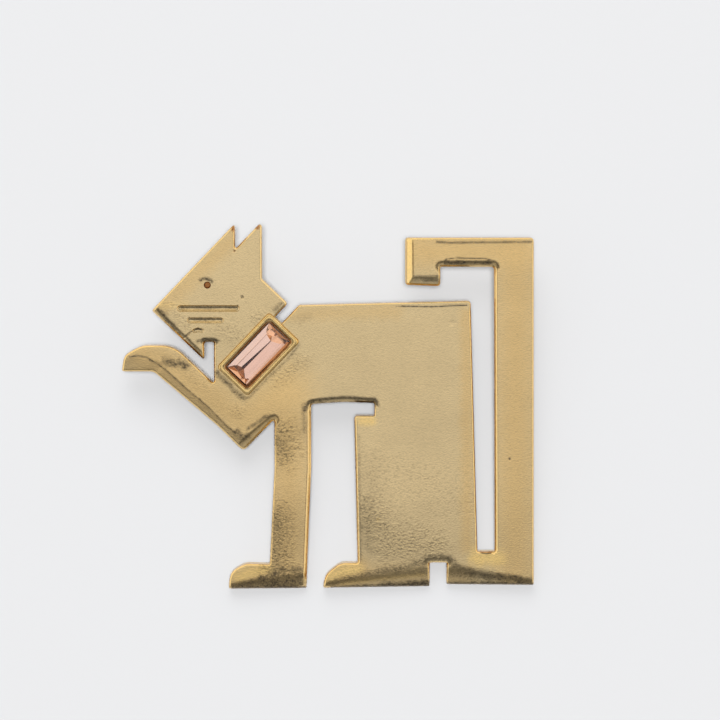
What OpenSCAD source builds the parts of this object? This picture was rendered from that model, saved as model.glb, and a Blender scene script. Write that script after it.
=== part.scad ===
// A cast metal brooch: a cat cut from a thick plate, with a baguette stone in a raised collar and a bar
// pin behind. The animal is drawn upright, its soles on the X axis and its back face at z = 0. It then
// leans back on its pin as it lies on a table, with the origin under the middle of its box, X along the
// body and Y from soles to ears.

/* [Plate] */
// Thickness of the cast plate
plate_t = 1.6; // [1.4:0.1:3]
// Width and depth of the small rounding round the front edge
edge_round = 0.3; // [0.15:0.05:0.4]
// Extra depth of a wider roll, for each millimetre of its extra width
roll_slope = 0.3; // [0.1:0.05:0.4]
// Width of the roll under the belly, the jaw, the forearm and the tail's bar
under_roll = 0.6; // [0.3:0.05:0.8]
// Widest part of the roll along the haunch's sole, beside its notch
haunch_roll = 2.5; // [1:0.1:2.7]
// Widest part of the roll along the forefoot's sole
foot_roll = 1.8; // [1:0.1:2.2]
// Width of the roll at the elbow, the palm and the end of the tail's hook
tip_roll = 1.2; // [0.6:0.1:1.4]
// Radius of the sharpest corners, such as those in the slots
sharp_r = 0.12; // [0.06:0.01:0.2]
// Radius of the plain corners
corner_r = 0.16; // [0.1:0.01:0.25]
// Radius of the blunt corners
blunt_r = 0.28; // [0.15:0.01:0.4]
// Radius of the slight bends in the foreleg and the forearm
bend_r = 8; // [5:1:12]
// Radius of the belly's arch
arch_r = 12; // [8:1:20]

/* [Legs] */
// Width of the foreleg
fore_w = 4.35; // [3.6:0.05:6]
// Height of the foreleg's bend above the sole
knee_h = 14.5; // [10:0.1:17]
// How far the forefoot stands ahead of the top of its leg
fore_lean = 0.6; // [0.2:0.05:1.5]
// Length of the forefoot ahead of its ankle
foot_l = 4.9; // [3.5:0.1:7]
// Height of the forefoot
foot_h = 2.95; // [2.7:0.05:4]
// Gap between the legs under the belly
leg_gap = 5.15; // [4.6:0.05:8]
// How far the haunch's front edge slopes back towards its foot
hind_lean = 0.4; // [0:0.05:1]
// Length of the hind paw ahead of its ankle
paw_l = 4.15; // [3:0.05:4.8]
// Height of the hind paw
paw_h = 3.1; // [2.8:0.05:4]
// Height of the belly above the soles
belly_h = 22.2; // [19.5:0.1:28]
// Rise of the belly's arch at its middle
belly_arch = 0.25; // [0.1:0.05:0.6]
// Depth of the step where the haunch meets the belly
step_h = 1.65; // [0.8:0.05:3]
// Width of that step
step_w = 2.4; // [1.2:0.05:4]

/* [Body] */
// Height of the body from belly to back, at the neck
body_h = 11.8; // [10.5:0.1:15]
// How much higher the back is at the tail than at the neck
back_rise = 0.5; // [0:0.05:1]
// Width of the haunch, from its front edge to the tail's slot
haunch_w = 13.8; // [11:0.1:20]
// Height of the haunch's sole above the forefoot's
haunch_lift = 0.1; // [0.05:0.05:0.5]
// Rise of the haunch's sole from its toe to the notch
haunch_rise = 0.1; // [0:0.05:0.3]
// Height of the tail block's sole above the forefoot's
block_lift = 0.45; // [0.1:0.05:0.7]
// Width of the notch in the sole
notch_w = 2.05; // [1.2:0.05:3]
// Height of the notch's top above the soles
notch_h = 3.15; // [3:0.05:3.8]
// Width of the block behind the notch, under the tail
block_w = 10.4; // [8:0.1:12]

/* [Tail] */
// Width of the tail
tail_w = 4.67; // [3.6:0.01:7]
// How far the tail leans forward over its height
tail_lean = 0.2; // [0:0.05:0.6]
// Height of the tail's top above the back
tail_rise = 7.5; // [6.6:0.1:12]
// Width of the slot between body and tail, at the back
slot_top_w = 2.78; // [1.8:0.02:4]
// Width of that slot at its foot
slot_foot_w = 2.08; // [1.2:0.02:3.5]
// Height of the slot's foot above the soles
slot_floor = 4.5; // [4.2:0.1:8]
// Length of the bar along the top of the tail
hook_l = 15.2; // [13:0.1:19]
// Height of that bar
hook_bar = 3.45; // [2.4:0.05:3.8]
// Width of the hook's turned-down end
hook_end_w = 4.15; // [3:0.05:5]
// Slant of the hook's end, its inner corner this much lower
hook_slant = 0.15; // [0:0.05:0.3]
// Gap between the hook's end and the back
hook_gap = 1.9; // [1.2:0.05:2.6]

/* [Head] */
// Turn of the head and collar from the horizontal, in degrees
head_tilt = 46.3; // [44:0.1:48]
// Distance of the collar's middle below the back
collar_drop = 5.8; // [5.2:0.1:7]
// Distance of the collar's middle ahead of the foreleg
collar_fwd = 1.9; // [1.2:0.1:2.6]
// Distance from the collar's middle to the jaw, along the collar
jaw_reach = 5; // [4.7:0.1:5.6]
// Distance from the collar's middle to the nape, along the collar
nape_reach = 6.75; // [6.2:0.05:8]
// Distance from the collar's middle to the brow, across the collar
brow_reach = 12.7; // [11.8:0.1:15]
// Width of the cut between the nape and the back
nape_gap = 1.1; // [0.6:0.05:1.6]
// Distance of that cut's lower wall from the collar's long axis
nape_off = 0.5; // [0.2:0.05:0.9]
// Distance of the front ear's upright edge ahead of the collar's middle
ear_fwd = 2.75; // [2.2:0.05:3.4]
// Distance between the ears' upright edges
ear_w = 3.2; // [2.6:0.05:3.8]
// Depth of the cut between the ears
ear_cut = 3.1; // [2:0.05:4]
// Radius of the rear ear's tip
ear_tip_r = 0.26; // [0.2:0.02:0.5]
// Width of the mouth's slot
mouth_w = 1.18; // [0.8:0.02:1.5]
// Distance of the mouth's rear wall ahead of the collar's middle
mouth_fwd = 5.26; // [5.1:0.02:5.6]
// Height of the mouth's top above the collar's middle
mouth_top = 1.4; // [1:0.05:2]

/* [Raised arm] */
// Gap between the jaw and the arm
jaw_gap = 1.22; // [0.7:0.02:1.5]
// Width of the forearm at its middle
arm_w = 3.35; // [3:0.05:4.5]
// Extra width of the arm at the wrist
wrist_more = 0.55; // [0.2:0.05:0.9]
// Extra width of the arm at the elbow
elbow_more = 0.1; // [0:0.05:0.6]
// Distance from the collar's long axis to the back of the elbow
elbow_reach = 6.75; // [5.8:0.1:7.4]
// Length of the paw ahead of its wrist
hand_l = 3.8; // [3.2:0.1:5]
// Height of the raised paw
hand_h = 3.1; // [2.8:0.1:4]
// Depth of the palm below the collar's middle
palm_drop = 2.1; // [1.6:0.1:2.6]
// Radius of the bend between the palm and the forearm
wrist_r = 1; // [0.5:0.1:2]

/* [Face] */
// Diameter of the drilled eye
eye_d = 0.9; // [0.5:0.05:1.4]
// Depth of the eye
eye_depth = 0.5; // [0.3:0.05:0.8]
// Distance of the eye ahead of the collar's middle
eye_fwd = 6.05; // [5:0.05:7]
// Height of the eye above the collar's middle
eye_up = 8.2; // [7.2:0.05:9]
// Depth of the brow's dent over the eye, and of the mouth's line
brow_d = 0.1; // [0.05:0.01:0.2]
// Width of the whisker grooves
groove_w = 0.72; // [0.4:0.02:0.8]
// Depth of the whisker grooves
groove_d = 0.26; // [0.15:0.01:0.35]
// Length of the upper groove
groove_l = 7; // [6:0.1:8]
// Height between one groove and the next
groove_step = 1.35; // [1:0.05:1.6]
// Distance of the upper groove's front end ahead of the collar's middle
whisker_fwd = 9.45; // [8.5:0.05:10.5]
// Height of the upper groove above the collar's middle
whisker_up = 5.45; // [4.8:0.05:6.2]
// Length of the mouth's line below the lowest groove
mouth_line = 1; // [0.8:0.1:1.4]

/* [Stone] */
// Length of the stone
stone_l = 8; // [7:0.1:8.4]
// Width of the stone
stone_w = 4; // [3.2:0.1:4.4]
// Width of the stone's crown slope, all round its table
crown_w = 0.75; // [0.5:0.05:1]
// Height of the crown
crown_h = 0.6; // [0.4:0.05:0.9]
// Height of the girdle
girdle_h = 0.15; // [0.1:0.05:0.3]
// Depth of the pavilion
pavilion_h = 1.2; // [0.8:0.05:1.4]
// Width of the flat along the pavilion's keel
keel_w = 0.12; // [0.08:0.02:0.3]
// Cut across the stone's corners
corner_cut = 0.3; // [0.15:0.05:0.45]
// Gap round the stone
seat_gap = 0.05; // [0.03:0.01:0.1]
// Radius of the collar's own corners
collar_r = 0.4; // [0.35:0.05:0.6]
// Wall of the collar beside the stone
collar_wall = 0.45; // [0.3:0.05:0.6]
// Height of the collar above the plate
collar_rise = 0.8; // [0.5:0.05:1.2]
// Height of the lip that holds the stone
lip_h = 0.3; // [0.2:0.05:0.4]
// Reach of the lip over the stone's edge
lip_over = 0.12; // [0.05:0.01:0.2]

/* [Bar pin] */
// Length of the strip that is soldered to the back
strip_l = 18; // [14:0.5:20]
// Width of the strip
strip_w = 3; // [2:0.1:4]
// Thickness of the strip
strip_t = 0.6; // [0.4:0.05:1]
// Distance of the strip's middle below the back's edge
strip_drop = 2.7; // [2.4:0.1:4]
// Distance of the strip's end from the tail's slot
strip_inset = 1.4; // [0.8:0.1:2.5]
// Radius of the hinge knuckle and of the catch
knuckle_r = 0.9; // [0.7:0.05:1.2]
// Width of the knuckle and of the catch
knuckle_w = 2.4; // [1.6:0.1:3]
// Distance of the pin's centre line behind the plate
pin_drop = 1.9; // [1.7:0.05:3]
// Radius of the pin's wire
wire_r = 0.35; // [0.25:0.05:0.5]
// Length of the wire's tip beyond the catch
wire_tip = 0.8; // [0.5:0.1:1.5]

/* [Hidden] */
// Steps in each rounded corner, and the rings that round the front edge
corner_steps = 4;
roll_steps = 3;
// Smallest radius that a corner keeps when it is moved inwards
least_r = 0.03;
// Bends slighter than this sine are moved inwards as straight edges
slight_bend = 0.12;
// How far a cut or a joined block runs past the surface that it opens or meets
past = 0.3;
$fn = 24;

// Horizontal places, from the foreleg's front edge
belly_x = fore_w + leg_gap;
slot_x = belly_x + haunch_w;
tail_x = slot_x + slot_top_w;
rump_x = tail_x + tail_w;
hook_x = rump_x - hook_l;
notch_x = rump_x + tail_lean - block_w - notch_w;
ankle_x = belly_x + hind_lean;
// Heights above the soles
back_y = belly_h + body_h;
tail_top = back_y + back_rise + tail_rise;
hook_end_y = back_y + back_rise + hook_gap;
step_y = belly_h + belly_arch - step_h;
// Collar
collar_at = [-collar_fwd, back_y - collar_drop];
collar_l = stone_l + 2 * (seat_gap + collar_wall);
collar_w = stone_w + 2 * (seat_gap + collar_wall);
collar_top = plate_t + collar_rise;
nape_low = collar_l / 2 - past;
// Arm, as distances along and across the collar
arm_top = jaw_reach + jaw_gap;
forearm_low = arm_top + arm_w;
wrist_low = forearm_low + wrist_more;
elbow_low = forearm_low + elbow_more;
hand_top = hand_h - palm_drop;
// Stone
room_r = corner_cut / 2;
lip_clear = crown_h * (lip_over + seat_gap) / crown_w;
girdle_top = collar_top - lip_h - lip_clear;
keel_z = girdle_top - girdle_h - pavilion_h;
keel_l = stone_l - stone_w + keel_w;
// Bar pin
pin_y = back_y - strip_drop;
strip_x = slot_x - strip_inset - strip_l / 2;
hinge_x = strip_x + strip_l / 2 - knuckle_r;
catch_x = strip_x - strip_l / 2 + knuckle_r;
// The brooch rests on the edge of its soles and on the lower ends of knuckle and catch
lean = atan2(pin_drop + knuckle_r, pin_y - knuckle_w / 2);

function unit(v) = v / norm(v);
function left_of(d) = [-d[1], d[0]];
function cross2(a, b) = a[0] * b[1] - a[1] * b[0];
function turned(v, a) = [v[0] * cos(a) - v[1] * sin(a), v[0] * sin(a) + v[1] * cos(a)];
// Depth of a front edge's roll, from its width
function roll_depth(w) = edge_round + roll_slope * (w - edge_round);

// A point of the head or arm: along the collar, then across it towards the brow
function by_collar(along, across) = collar_at + turned([along, across], head_tilt);
// Point at a given offset along the collar and a given height over the collar's middle
function level_at(along, up) = collar_at + [(along - up * sin(head_tilt)) / cos(head_tilt), up];
// Point at a given offset across the collar and a given height over the collar's middle
function level_across(across, up) = collar_at + [(up * cos(head_tilt) - across) / sin(head_tilt), up];
// Point at a given offset along the collar and a given place ahead of the collar's middle
function upright_at(along, fwd) = collar_at + [-fwd, (along + fwd * cos(head_tilt)) / sin(head_tilt)];
// Height over the collar's middle of a line parallel to the collar, at a place ahead of it
function across_y(across, fwd) = (across - fwd * sin(head_tilt)) / cos(head_tilt);

// Corners that round the top of a paw, as shares of its size, each with the columns
// length from the heel, height above the sole, corner radius over length
forefoot_curve = [[0.6, 1.03, 0.45], [0.97, 0.68, 0.3]];
hind_curve = [[0.5, 1.01, 0.45], [0.92, 0.54, 0.3]];
hand_curve = [[0.37, 1, 0.75], [0.92, 0.62, 0.3]];
function paw(curve, wrist, length, sole, height) = [
    for (c = curve)
        [wrist - c[0] * length, sole + c[1] * height, c[2] * length, edge_round, edge_round]
];

// Grooves from the top: front end and length, as shares of the upper groove's own
whiskers = [[1, 1], [0.88, 0.57], [0.81, 0.16]];
// Front end of the mouth's line: share of the upper groove's place, and groove steps below it
mouth_at = [0.78, 2.9];
// Ends of the brow's dent, from the eye's middle in eye diameters
brow_ends = [[-0.9, 0.8], [0.4, 0.86]];
front_ear = collar_at + [-ear_fwd, across_y(brow_reach, ear_fwd)];
ear_valley = front_ear - [0, ear_cut];
rear_ear = ear_valley + ear_w * [1, tan(head_tilt)];
nape = upright_at(nape_reach, ear_fwd - ear_w);
mouth_front = mouth_fwd + mouth_w;
wrist = level_at(-wrist_low, -palm_drop);
back_corner = level_across(nape_off, collar_drop);

// Corners anticlockwise from the forefoot's toe, each with the columns
// x, y, corner radius, roll of the edge that arrives, roll of the edge that leaves
corners = concat(
    [
        [-fore_lean - foot_l, 0, corner_r, edge_round, edge_round],
        [fore_w - fore_lean, 0, sharp_r, foot_roll, edge_round],
        [fore_w, knee_h, bend_r, edge_round, edge_round],
        [fore_w, belly_h, blunt_r, edge_round, under_roll],
        [belly_x + (step_w - leg_gap) / 2, belly_h + belly_arch, arch_r, under_roll, under_roll],
        [belly_x + step_w, belly_h + belly_arch / 2, corner_r, under_roll, edge_round],
        [belly_x + step_w, step_y, sharp_r, edge_round, edge_round],
        [belly_x, step_y, blunt_r, edge_round, edge_round],
        [ankle_x, paw_h, corner_r, edge_round, edge_round]
    ],
    paw(hind_curve, ankle_x, paw_l, haunch_lift, paw_h - haunch_lift),
    [
        [ankle_x - paw_l, haunch_lift, corner_r, edge_round, edge_round],
        [notch_x, haunch_lift + haunch_rise, sharp_r, haunch_roll, edge_round],
        [notch_x, notch_h, corner_r, edge_round, under_roll],
        [notch_x + notch_w, notch_h, corner_r, under_roll, edge_round],
        [notch_x + notch_w, block_lift, sharp_r, edge_round, haunch_roll],
        [rump_x + tail_lean, block_lift, corner_r, under_roll, edge_round],
        [rump_x, tail_top, blunt_r, edge_round, edge_round],
        [hook_x, tail_top, blunt_r, edge_round, under_roll],
        [hook_x, hook_end_y, blunt_r, under_roll, tip_roll],
        [hook_x + hook_end_w, hook_end_y - hook_slant, blunt_r, tip_roll, edge_round],
        [hook_x + hook_end_w, tail_top - hook_bar, corner_r, edge_round, under_roll],
        [tail_x, tail_top - hook_bar, blunt_r, under_roll, edge_round],
        [tail_x + tail_lean, slot_floor, sharp_r, edge_round, edge_round],
        [tail_x + tail_lean - slot_foot_w, slot_floor, sharp_r, edge_round, edge_round],
        [slot_x, back_y + back_rise, blunt_r, edge_round, edge_round],
        [back_corner[0], back_corner[1], blunt_r, edge_round, edge_round]
    ],
    [
        for (c = [[nape_low, nape_off, sharp_r], [nape_low, nape_off + nape_gap, sharp_r],
                  [nape_reach, nape_off + nape_gap, blunt_r]])
            let (p = by_collar(c[0], c[1]))
                [p[0], p[1], c[2], edge_round, edge_round]
    ],
    [
        [nape[0], nape[1], blunt_r, edge_round, edge_round],
        [rear_ear[0], rear_ear[1], ear_tip_r, edge_round, edge_round],
        [ear_valley[0], ear_valley[1], sharp_r, edge_round, edge_round],
        [front_ear[0], front_ear[1], corner_r, edge_round, edge_round]
    ],
    [
        let (p = by_collar(-jaw_reach, brow_reach))
            [p[0], p[1], corner_r, edge_round, under_roll],
        let (p = upright_at(-jaw_reach, mouth_front))
            [p[0], p[1], sharp_r, under_roll, edge_round],
        [collar_at[0] - mouth_front, collar_at[1] + mouth_top, corner_r, edge_round, edge_round],
        [collar_at[0] - mouth_fwd, collar_at[1] + mouth_top, corner_r, edge_round, edge_round],
        let (p = upright_at(-arm_top, mouth_fwd))
            [p[0], p[1], sharp_r, edge_round, edge_round],
        let (p = level_at(-arm_top, hand_top))
            [p[0], p[1], hand_l, edge_round, edge_round]
    ],
    paw(hand_curve, wrist[0], hand_l, wrist[1], hand_h),
    [
        [wrist[0] - hand_l, wrist[1], corner_r, edge_round, tip_roll],
        [wrist[0], wrist[1], wrist_r, tip_roll, under_roll],
        let (p = by_collar(-forearm_low, -elbow_reach / 3))
            [p[0], p[1], bend_r, under_roll, under_roll],
        let (p = by_collar(-elbow_low, -elbow_reach))
            [p[0], p[1], blunt_r, under_roll, tip_roll],
        [0, collar_at[1] + across_y(-elbow_reach, -collar_fwd), corner_r, tip_roll, edge_round],
        [0, knee_h, bend_r, edge_round, edge_round],
        [-fore_lean, foot_h, corner_r, edge_round, edge_round]
    ],
    paw(forefoot_curve, -fore_lean, foot_l, 0, foot_h)
);

// A corner moved inwards: its mitre, where its two edges have moved by their own widths times share
function moved(c, d1, d2, share) =
    let (n1 = left_of(d1), n2 = left_of(d2), a = c[3] * share, b = c[4] * share, k = cross2(n1, n2))
    let (p = [c[0], c[1]])
        abs(k) < slight_bend ?
            p + (a + b) / 2 * (n1 + n2) / (1 + n1 * n2) :
            p + [a * n2[1] - b * n1[1], b * n1[0] - a * n2[0]] / k;

// The points of a rounded corner, the same number for every share
function rounded(before, c, after, share) =
    let (d1 = unit([c[0] - before[0], c[1] - before[1]]), d2 = unit([after[0] - c[0], after[1] - c[1]]))
    let (turn = atan2(cross2(d1, d2), d1 * d2), inwards = (c[3] + c[4]) / 2 * share)
    let (r = turn > 0 ? max(c[2] - inwards, least_r) : c[2] + inwards)
    let (m = moved(c, d1, d2, share), start = m - d1 * r * tan(abs(turn) / 2))
    let (centre = start + sign(turn) * r * left_of(d1))
        [for (i = [0 : corner_steps]) centre + turned(start - centre, turn * i / corner_steps)];

function outline(table, share) = [
    for (i = [0 : len(table) - 1])
        each rounded(table[(i + len(table) - 1) % len(table)], table[i], table[(i + 1) % len(table)], share)
];
// Depth of the roll at each point of an outline
function depths(table) = [
    for (i = [0 : len(table) - 1], k = [0 : corner_steps])
        roll_depth(table[i][3] + (table[i][4] - table[i][3]) * k / corner_steps)
];

silhouette = outline(corners, 0);
edge_depths = depths(corners);
across_x = [for (p = silhouette) p[0]];
across_far = [for (p = silhouette) p[1] * cos(lean)];
across_near = [
    for (i = [0 : len(silhouette) - 1])
        silhouette[i][1] * cos(lean) - (plate_t - edge_depths[i]) * sin(lean)
];
middle = [(min(across_x) + max(across_x)) / 2, (min(across_near) + max(across_far)) / 2];

// Closed solid through rings of points with equal counts, lowest first, each anticlockwise from above
module ringed(rings) {
    n = len(rings[0]);
    last = len(rings) - 1;
    polyhedron(
        points = [for (ring = rings) each ring],
        faces = concat(
            [[for (i = [0 : n - 1]) i]],
            [for (k = [0 : last - 1], i = [0 : n - 1])
                [k * n + i, (k + 1) * n + i, (k + 1) * n + (i + 1) % n, k * n + (i + 1) % n]],
            [[for (i = [n - 1 : -1 : 0]) last * n + i]]
        ),
        convexity = 12
    );
}

// Plate with upright walls and a front edge that rolls over
module rolled_plate(table, height) {
    drop = depths(table);
    foot = outline(table, 0);
    ringed(concat(
        [[for (p = foot) [p[0], p[1], 0]]],
        [for (k = [0 : roll_steps])
            let (a = 90 * k / roll_steps, ring = outline(table, 1 - cos(a)))
                [for (i = [0 : len(ring) - 1])
                    [ring[i][0], ring[i][1], height - drop[i] * (1 - sin(a))]]]
    ));
}

// Rectangle with its corners cut, at one height
function cut_rectangle(l, w, cut, z) = [
    [l / 2, cut - w / 2, z], [l / 2, w / 2 - cut, z], [l / 2 - cut, w / 2, z], [cut - l / 2, w / 2, z],
    [-l / 2, w / 2 - cut, z], [-l / 2, cut - w / 2, z], [cut - l / 2, -w / 2, z], [l / 2 - cut, -w / 2, z]
];

module lying() {
    translate([-middle[0], -middle[1], 0])
        rotate([lean, 0, 0])
            children();
}

module at_collar() {
    translate([collar_at[0], collar_at[1], 0])
        rotate([0, 0, head_tilt])
            children();
}

// Block with rounded corners, its top edge softened by a smaller top
module rounded_block(l, w, r, bottom, top, soft = 0) {
    hull()
        for (sx = [-1, 1], sy = [-1, 1])
            translate([sx * (l / 2 - r), sy * (w / 2 - r), bottom]) {
                cylinder(h = top - bottom - soft, r = r);
                cylinder(h = top - bottom, r = r - soft);
            }
}

// Room for the stone, a gap wider than it all round, and the opening inside the lip
module stone_room() {
    rounded_block(stone_l + 2 * seat_gap, stone_w + 2 * seat_gap, room_r,
        keel_z - seat_gap, collar_top - lip_h);
    rounded_block(stone_l - 2 * lip_over, stone_w - 2 * lip_over, room_r, keel_z, collar_top + past);
}

// Round-ended groove in the plate's front, between two ends, with walls that slope at 45 degrees
module mark(from, to, width, depth) {
    along = unit(to - from) * width / 2;
    hull()
        for (p = [from + along, to - along])
            translate([p[0], p[1], plate_t - depth])
                cylinder(h = depth + past, r1 = width / 2 - depth, r2 = width / 2 + past);
}

module face_marks() {
    eye = collar_at + [-eye_fwd, eye_up];
    translate([eye[0], eye[1], plate_t - eye_depth])
        cylinder(h = eye_depth + past, d = eye_d);
    mark(eye + brow_ends[0] * eye_d, eye + brow_ends[1] * eye_d, eye_d / 2, brow_d);
    for (i = [0 : len(whiskers) - 1])
        let (front = collar_at + [-whiskers[i][0] * whisker_fwd, whisker_up - i * groove_step])
            mark(front, front + [whiskers[i][1] * groove_l, 0], groove_w, groove_d);
    mouth = collar_at + [-mouth_at[0] * whisker_fwd, whisker_up - mouth_at[1] * groove_step];
    mark(mouth, mouth + [mouth_line, mouth_line / 2], groove_w / 2, brow_d);
}

module figure() {
    color([0.80, 0.70, 0.50])
        lying()
            difference() {
                union() {
                    rolled_plate(corners, plate_t);
                    at_collar()
                        rounded_block(collar_l, collar_w, collar_r, 0, collar_top, edge_round);
                }
                at_collar() stone_room();
                face_marks();
            }
}

module stone() {
    color([0.90, 0.68, 0.60])
        lying() at_collar()
            ringed([
                cut_rectangle(keel_l, keel_w, keel_w / 4, keel_z),
                cut_rectangle(stone_l, stone_w, corner_cut, girdle_top - girdle_h),
                cut_rectangle(stone_l, stone_w, corner_cut, girdle_top),
                cut_rectangle(stone_l - 2 * crown_w, stone_w - 2 * crown_w, corner_cut,
                    girdle_top + crown_h)
            ]);
}

// Hinge knuckle or catch: a round end on a short post from the strip
module knuckle(x) {
    translate([x, pin_y + knuckle_w / 2, -pin_drop])
        rotate([90, 0, 0])
            cylinder(h = knuckle_w, r = knuckle_r);
    translate([x - knuckle_r, pin_y - knuckle_w / 2, -pin_drop])
        cube([2 * knuckle_r, knuckle_w, pin_drop - seat_gap - strip_t / 2]);
}

module pin_back() {
    tip_x = catch_x - knuckle_r - wire_tip;
    color([0.78, 0.68, 0.48])
        lying() {
            translate([strip_x - strip_l / 2, pin_y - strip_w / 2, -seat_gap - strip_t])
                cube([strip_l, strip_w, strip_t]);
            knuckle(hinge_x);
            knuckle(catch_x);
            translate([tip_x, pin_y, -pin_drop])
                rotate([0, 90, 0])
                    cylinder(h = hinge_x - tip_x, r = wire_r);
        }
}

figure();
stone();
pin_back();
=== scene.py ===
import math

import bmesh
import bpy
import numpy as np
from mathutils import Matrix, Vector, geometry


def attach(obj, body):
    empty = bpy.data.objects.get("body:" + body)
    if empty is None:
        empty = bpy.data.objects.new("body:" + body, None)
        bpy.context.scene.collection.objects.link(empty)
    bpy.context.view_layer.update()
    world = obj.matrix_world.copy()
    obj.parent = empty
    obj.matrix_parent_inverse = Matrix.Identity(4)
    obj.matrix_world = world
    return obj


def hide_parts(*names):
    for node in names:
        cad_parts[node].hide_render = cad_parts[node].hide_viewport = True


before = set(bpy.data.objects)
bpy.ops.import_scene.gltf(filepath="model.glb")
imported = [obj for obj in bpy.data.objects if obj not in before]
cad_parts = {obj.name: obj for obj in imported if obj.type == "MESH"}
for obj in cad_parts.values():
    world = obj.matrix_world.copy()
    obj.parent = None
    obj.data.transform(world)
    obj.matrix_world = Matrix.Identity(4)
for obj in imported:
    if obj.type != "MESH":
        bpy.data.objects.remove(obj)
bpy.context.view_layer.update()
mm = 0.001
facing = 0.9       # least share of a normal along the plate's thickness on its front and back
onPlane = 1e-3     # a point this near to a plane lies on it
weld = 1e-7        # points nearer than this are one: metres in a mesh, millimetres in a fill
tiny = 1e-9        # stands in for a zero that would be divided by
batch = 4000000    # most pairs of a point and a side that are worked out at once
clouds = {"cells": 97, "shift": (41.3, 37.7)}    # noise lattice: values along its side, and where it starts


# The plate's own frame

def cadArrays(node):
    # a CAD node's points in millimetres and its triangles, from a copy whose double points are merged
    work = bmesh.new()
    work.from_mesh(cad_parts[node].data)
    bmesh.ops.remove_doubles(work, verts=work.verts, dist=weld)
    copy = bpy.data.meshes.new("copy")
    work.to_mesh(copy)
    work.free()
    points = np.empty(len(copy.vertices) * 3)
    copy.vertices.foreach_get("co", points)
    triangles = np.empty(len(copy.loops), np.int64)
    copy.loops.foreach_get("vertex_index", triangles)
    bpy.data.meshes.remove(copy)
    return points.reshape(-1, 3) / mm, triangles.reshape(-1, 3)


figurePoints, figureTriangles = cadArrays("figure")
corner = figurePoints[figureTriangles]
normals = np.cross(corner[:, 1] - corner[:, 0], corner[:, 2] - corner[:, 0])
behind = normals[normals[:, 2] < -facing * np.linalg.norm(normals, axis=1)].sum(axis=0)
lean = math.atan2(behind[1], -behind[2])    # the plate leans back on its pin
solesY = figurePoints[figurePoints[:, 2] < onPlane, 1].mean()    # the back edge of the soles, on the table


def toPlate(points):
    # world millimetres to the plate's x, height v over the soles along the plate, and height w over its back
    y = points[:, 1] - solesY
    return np.stack([points[:, 0], y * math.cos(lean) + points[:, 2] * math.sin(lean),
                     points[:, 2] * math.cos(lean) - y * math.sin(lean)], axis=1)


def toWorld(plate):
    # the plate's x, v and w back to world millimetres
    return np.stack([plate[:, 0], solesY + plate[:, 1] * math.cos(lean) - plate[:, 2] * math.sin(lean),
                     plate[:, 1] * math.sin(lean) + plate[:, 2] * math.cos(lean)], axis=1)


def rimLoop(triangles):
    # sides of the triangles that no neighbour runs back along, joined end to start
    sides = np.concatenate([triangles[:, [0, 1]], triangles[:, [1, 2]], triangles[:, [2, 0]]])
    size = triangles.max() + 1
    rim = sides[~np.isin(sides[:, 0] * size + sides[:, 1], sides[:, 1] * size + sides[:, 0])]
    follow = dict(rim.tolist())
    loop = [int(rim[0, 0])]
    while follow[loop[-1]] != loop[0]:
        loop.append(follow[loop[-1]])
    return loop


def smoothLoop(loop, step, longSide, sharpTurn):
    # each side of the loop as a Hermite cubic, in steps no longer than step. One over longSide is straight.
    # A short one starts along the long side before it, or along the mean of the two short sides that meet
    # there, or along itself where the cosine of the turn is under sharpTurn
    side = np.roll(loop, -1, 0) - loop
    length = np.linalg.norm(side, axis=1)
    ahead = side / length[:, None]
    past = np.roll(ahead, 1, 0)
    long = (length > longSide)[:, None]
    longPast = np.roll(long, 1, 0)
    sharp = ((ahead * past).sum(axis=1) < sharpTurn)[:, None]
    mean = (ahead + past) / np.maximum(np.linalg.norm(ahead + past, axis=1), tiny)[:, None]
    start = np.where(long | sharp, ahead, np.where(longPast, past, mean))
    end = np.roll(np.where(longPast | sharp, past, np.where(long, ahead, mean)), -1, 0)
    count = np.ceil(length / step).astype(int)
    owner = np.repeat(np.arange(len(loop)), count)
    t = ((np.arange(count.sum()) - (np.cumsum(count) - count)[owner]) / count[owner])[:, None]
    after = (owner + 1) % len(loop)
    pull = length[owner][:, None]
    return ((2 * t**3 - 3 * t**2 + 1) * loop[owner] + (3 * t**2 - 2 * t**3) * loop[after]
            + (t**3 - 2 * t**2 + t) * pull * start[owner] + (t**3 - t**2) * pull * end[owner])


def inwardNormals(loop):
    # at each point of a loop that runs anticlockwise, the direction square to its two neighbours, inwards
    along = np.roll(loop, -1, 0) - np.roll(loop, 1, 0)
    along /= np.linalg.norm(along, axis=1)[:, None]
    return np.stack([-along[:, 1], along[:, 0]], axis=1)


def isInside(points, loop):
    # a point is inside where a ray to its right crosses the loop an odd number of times
    result = np.zeros(len(points), bool)
    start, end = loop, np.roll(loop, -1, 0)
    for part in np.array_split(np.arange(len(points)), max(1, len(points) * len(loop) // batch)):
        x, v = points[part, 0:1], points[part, 1:2]
        spans = (start[:, 1] > v) != (end[:, 1] > v)
        rise = np.where(end[:, 1] == start[:, 1], tiny, end[:, 1] - start[:, 1])
        crossing = start[:, 0] + (v - start[:, 1]) / rise * (end[:, 0] - start[:, 0])
        result[part] = (spans & (x < crossing)).sum(axis=1) % 2 == 1
    return result


def nearest(points, loop):
    # distance from each point to the nearest side of a closed loop
    distance = np.empty(len(points))
    start = loop.astype(np.float32)
    side = (np.roll(loop, -1, 0) - loop).astype(np.float32)
    square = (side**2).sum(axis=1)
    for part in np.array_split(np.arange(len(points)), max(1, len(points) * len(loop) // batch)):
        dx = points[part, 0:1].astype(np.float32) - start[:, 0]
        dv = points[part, 1:2].astype(np.float32) - start[:, 1]
        t = np.clip((dx * side[:, 0] + dv * side[:, 1]) / square, 0, 1)
        gap = (dx - t * side[:, 0])**2 + (dv - t * side[:, 1])**2
        distance[part] = np.sqrt(gap.min(axis=1))
    return distance


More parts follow.
